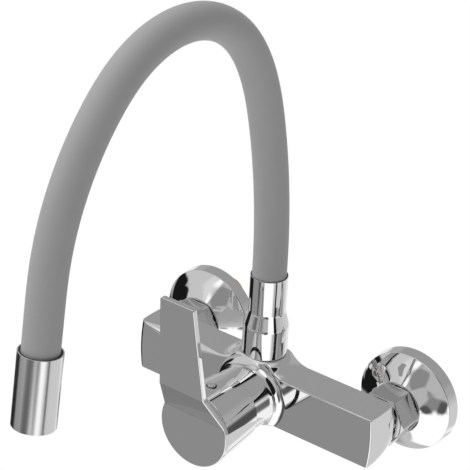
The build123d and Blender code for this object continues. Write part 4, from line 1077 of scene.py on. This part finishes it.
def studio_card():
    """Node group: mask of a soft-edged card with rounded corners, 1 inside its half width and half height.

    The distance is the fourth root of the summed fourth powers of both offsets, each as a share of its half
    size; slant moves the card sideways with elevation.
    """
    names = ("Azimuth", "Elevation", "Across", "Half Width", "Up", "Half Height", "Slant", "Softness")
    group, given, outputs = new_group("studio_card", names, ("Mask",))
    up = number(group, "SUBTRACT", given["Elevation"], given["Up"])
    across = number(group, "SUBTRACT", given["Azimuth"], given["Across"])
    across = number(group, "SUBTRACT", across, number(group, "MULTIPLY", up, given["Slant"]))
    powers = []
    for offset, half in ((across, given["Half Width"]), (up, given["Half Height"])):
        share = number(group, "ABSOLUTE", number(group, "DIVIDE", offset, half))
        powers.append(number(group, "POWER", share, 4.0))
    distance = number(group, "POWER", number(group, "ADD", *powers), 0.25)
    least = number(group, "MINIMUM", given["Half Width"], given["Half Height"])
    reach = number(group, "DIVIDE", given["Softness"], least)
    inside, low = number(group, "SUBTRACT", 1.0, distance), number(group, "MULTIPLY", reach, -1.0)
    feed(group, outputs.inputs["Mask"], smooth_step(group, inside, low, reach))
    return group


def shown_grey(value):
    """Light that a grey of the picture, 0 to 255 on the sRGB curve, stands for before the plating's share."""
    share = value / 255
    linear = share / 12.92 if share < 0.04045 else ((share + 0.055) / 1.055) ** 2.4
    return linear / bpy.context.scene.faucet_finish.chrome[0]


def set_world(scene):
    """White surround for the camera, studio cards for the metal, a weighted soft light for matt surfaces."""
    world = bpy.data.worlds.new("studio")
    scene.world = world
    world.use_nodes = True
    tree = world.node_tree
    where = tree.nodes.new("ShaderNodeTexCoord").outputs["Generated"]
    parts = add_node(tree, "ShaderNodeSeparateXYZ", Vector=where).outputs
    azimuth = number(tree, "ARCTAN2", parts["X"], number(tree, "MULTIPLY", parts["Y"], -1.0))
    azimuth = number(tree, "DEGREES", azimuth)
    elevation = number(tree, "DEGREES", number(tree, "ARCSINE", parts["Z"]))
    group = studio_card()
    light = shown_grey(STUDIO_BASE)
    for name, grey, *sizes in STUDIO_CARDS:
        mask = result(tree, "ShaderNodeGroup", azimuth, elevation, *sizes, node_tree=group, label=name)
        light = result(tree, "ShaderNodeMix", mask, light, shown_grey(grey), data_type="FLOAT")
    soft = SOFT_LIGHT_LEVEL
    for first, second, weight in SOFT_LIGHT:
        product = number(tree, "MULTIPLY", parts[first], parts[second]) if second else parts[first]
        soft = number(tree, "MULTIPLY_ADD", product, weight, soft)
    soft = number(tree, "MAXIMUM", soft, SOFT_LIGHT_LEAST)
    matt, metal, surround = (
        add_node(tree, "ShaderNodeBackground", Color=(1, 1, 1, 1), Strength=strength).outputs["Background"]
        for strength in (soft, light, 1.0)
    )
    path = tree.nodes.new("ShaderNodeLightPath").outputs
    lit = result(tree, "ShaderNodeMixShader", path["Is Glossy Ray"], matt, metal)
    seen = result(tree, "ShaderNodeMixShader", path["Is Camera Ray"], lit, surround)
    tree.nodes.remove(tree.nodes["Background"])
    feed(tree, tree.nodes["World Output"].inputs["Surface"], seen)


def set_lamp(scene):
    """One large soft lamp above the room side."""
    light = bpy.data.lights.new("soft_key", "AREA")
    light.shape, light.size, light.energy = "DISK", LAMP_SIZE, LAMP_POWER
    lamp = bpy.data.objects.new("soft_key", light)
    lamp.location, lamp.rotation_euler = LAMP_PLACE, LAMP_TURN
    scene.collection.objects.link(lamp)


# Add-on ---------------------------------------------------------------------------------------------------

GROUPS = (("faucet_sizes", FaucetSizes), ("faucet_finish", FaucetFinish), ("faucet_stage", FaucetStage))
OPERATORS = (
    BuildCasting,
    BuildFlanges,
    BuildUnionNuts,
    BuildLever,
    BuildScrewPlug,
    BuildSocket,
    BuildHose,
    BuildNozzle,
    BuildHoseSeals,
    DressInnerParts,
    SetStage,
)


class FaucetPanel(bpy.types.Panel):
    """Sidebar panel with the settings and one button for each group of pieces"""

    bl_idname = "VIEW3D_PT_faucet"
    bl_label = "Wall Faucet"
    bl_space_type = "VIEW_3D"
    bl_region_type = "UI"
    bl_category = "Faucet"

    def draw(self, context):
        for name, group in GROUPS:
            box = self.layout.box()
            for setting in group.__annotations__:
                box.prop(getattr(context.scene, name), setting)
        for operator in OPERATORS:
            self.layout.operator(operator.bl_idname)


def register():
    """Register the settings, the operators and the panel."""
    for name, group in GROUPS:
        bpy.utils.register_class(group)
        setattr(bpy.types.Scene, name, PointerProperty(type=group))
    for cls in (*OPERATORS, FaucetPanel):
        bpy.utils.register_class(cls)


def unregister():
    """Take away what register has added, in the opposite order."""
    for cls in (FaucetPanel, *reversed(OPERATORS)):
        bpy.utils.unregister_class(cls)
    for name, group in reversed(GROUPS):
        delattr(bpy.types.Scene, name)
        bpy.utils.unregister_class(group)


def main():
    """Register the add-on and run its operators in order."""
    register()
    for operator in OPERATORS:
        family, name = operator.bl_idname.split(".")
        getattr(getattr(bpy.ops, family), name)()


if __name__ == "__main__":
    main()
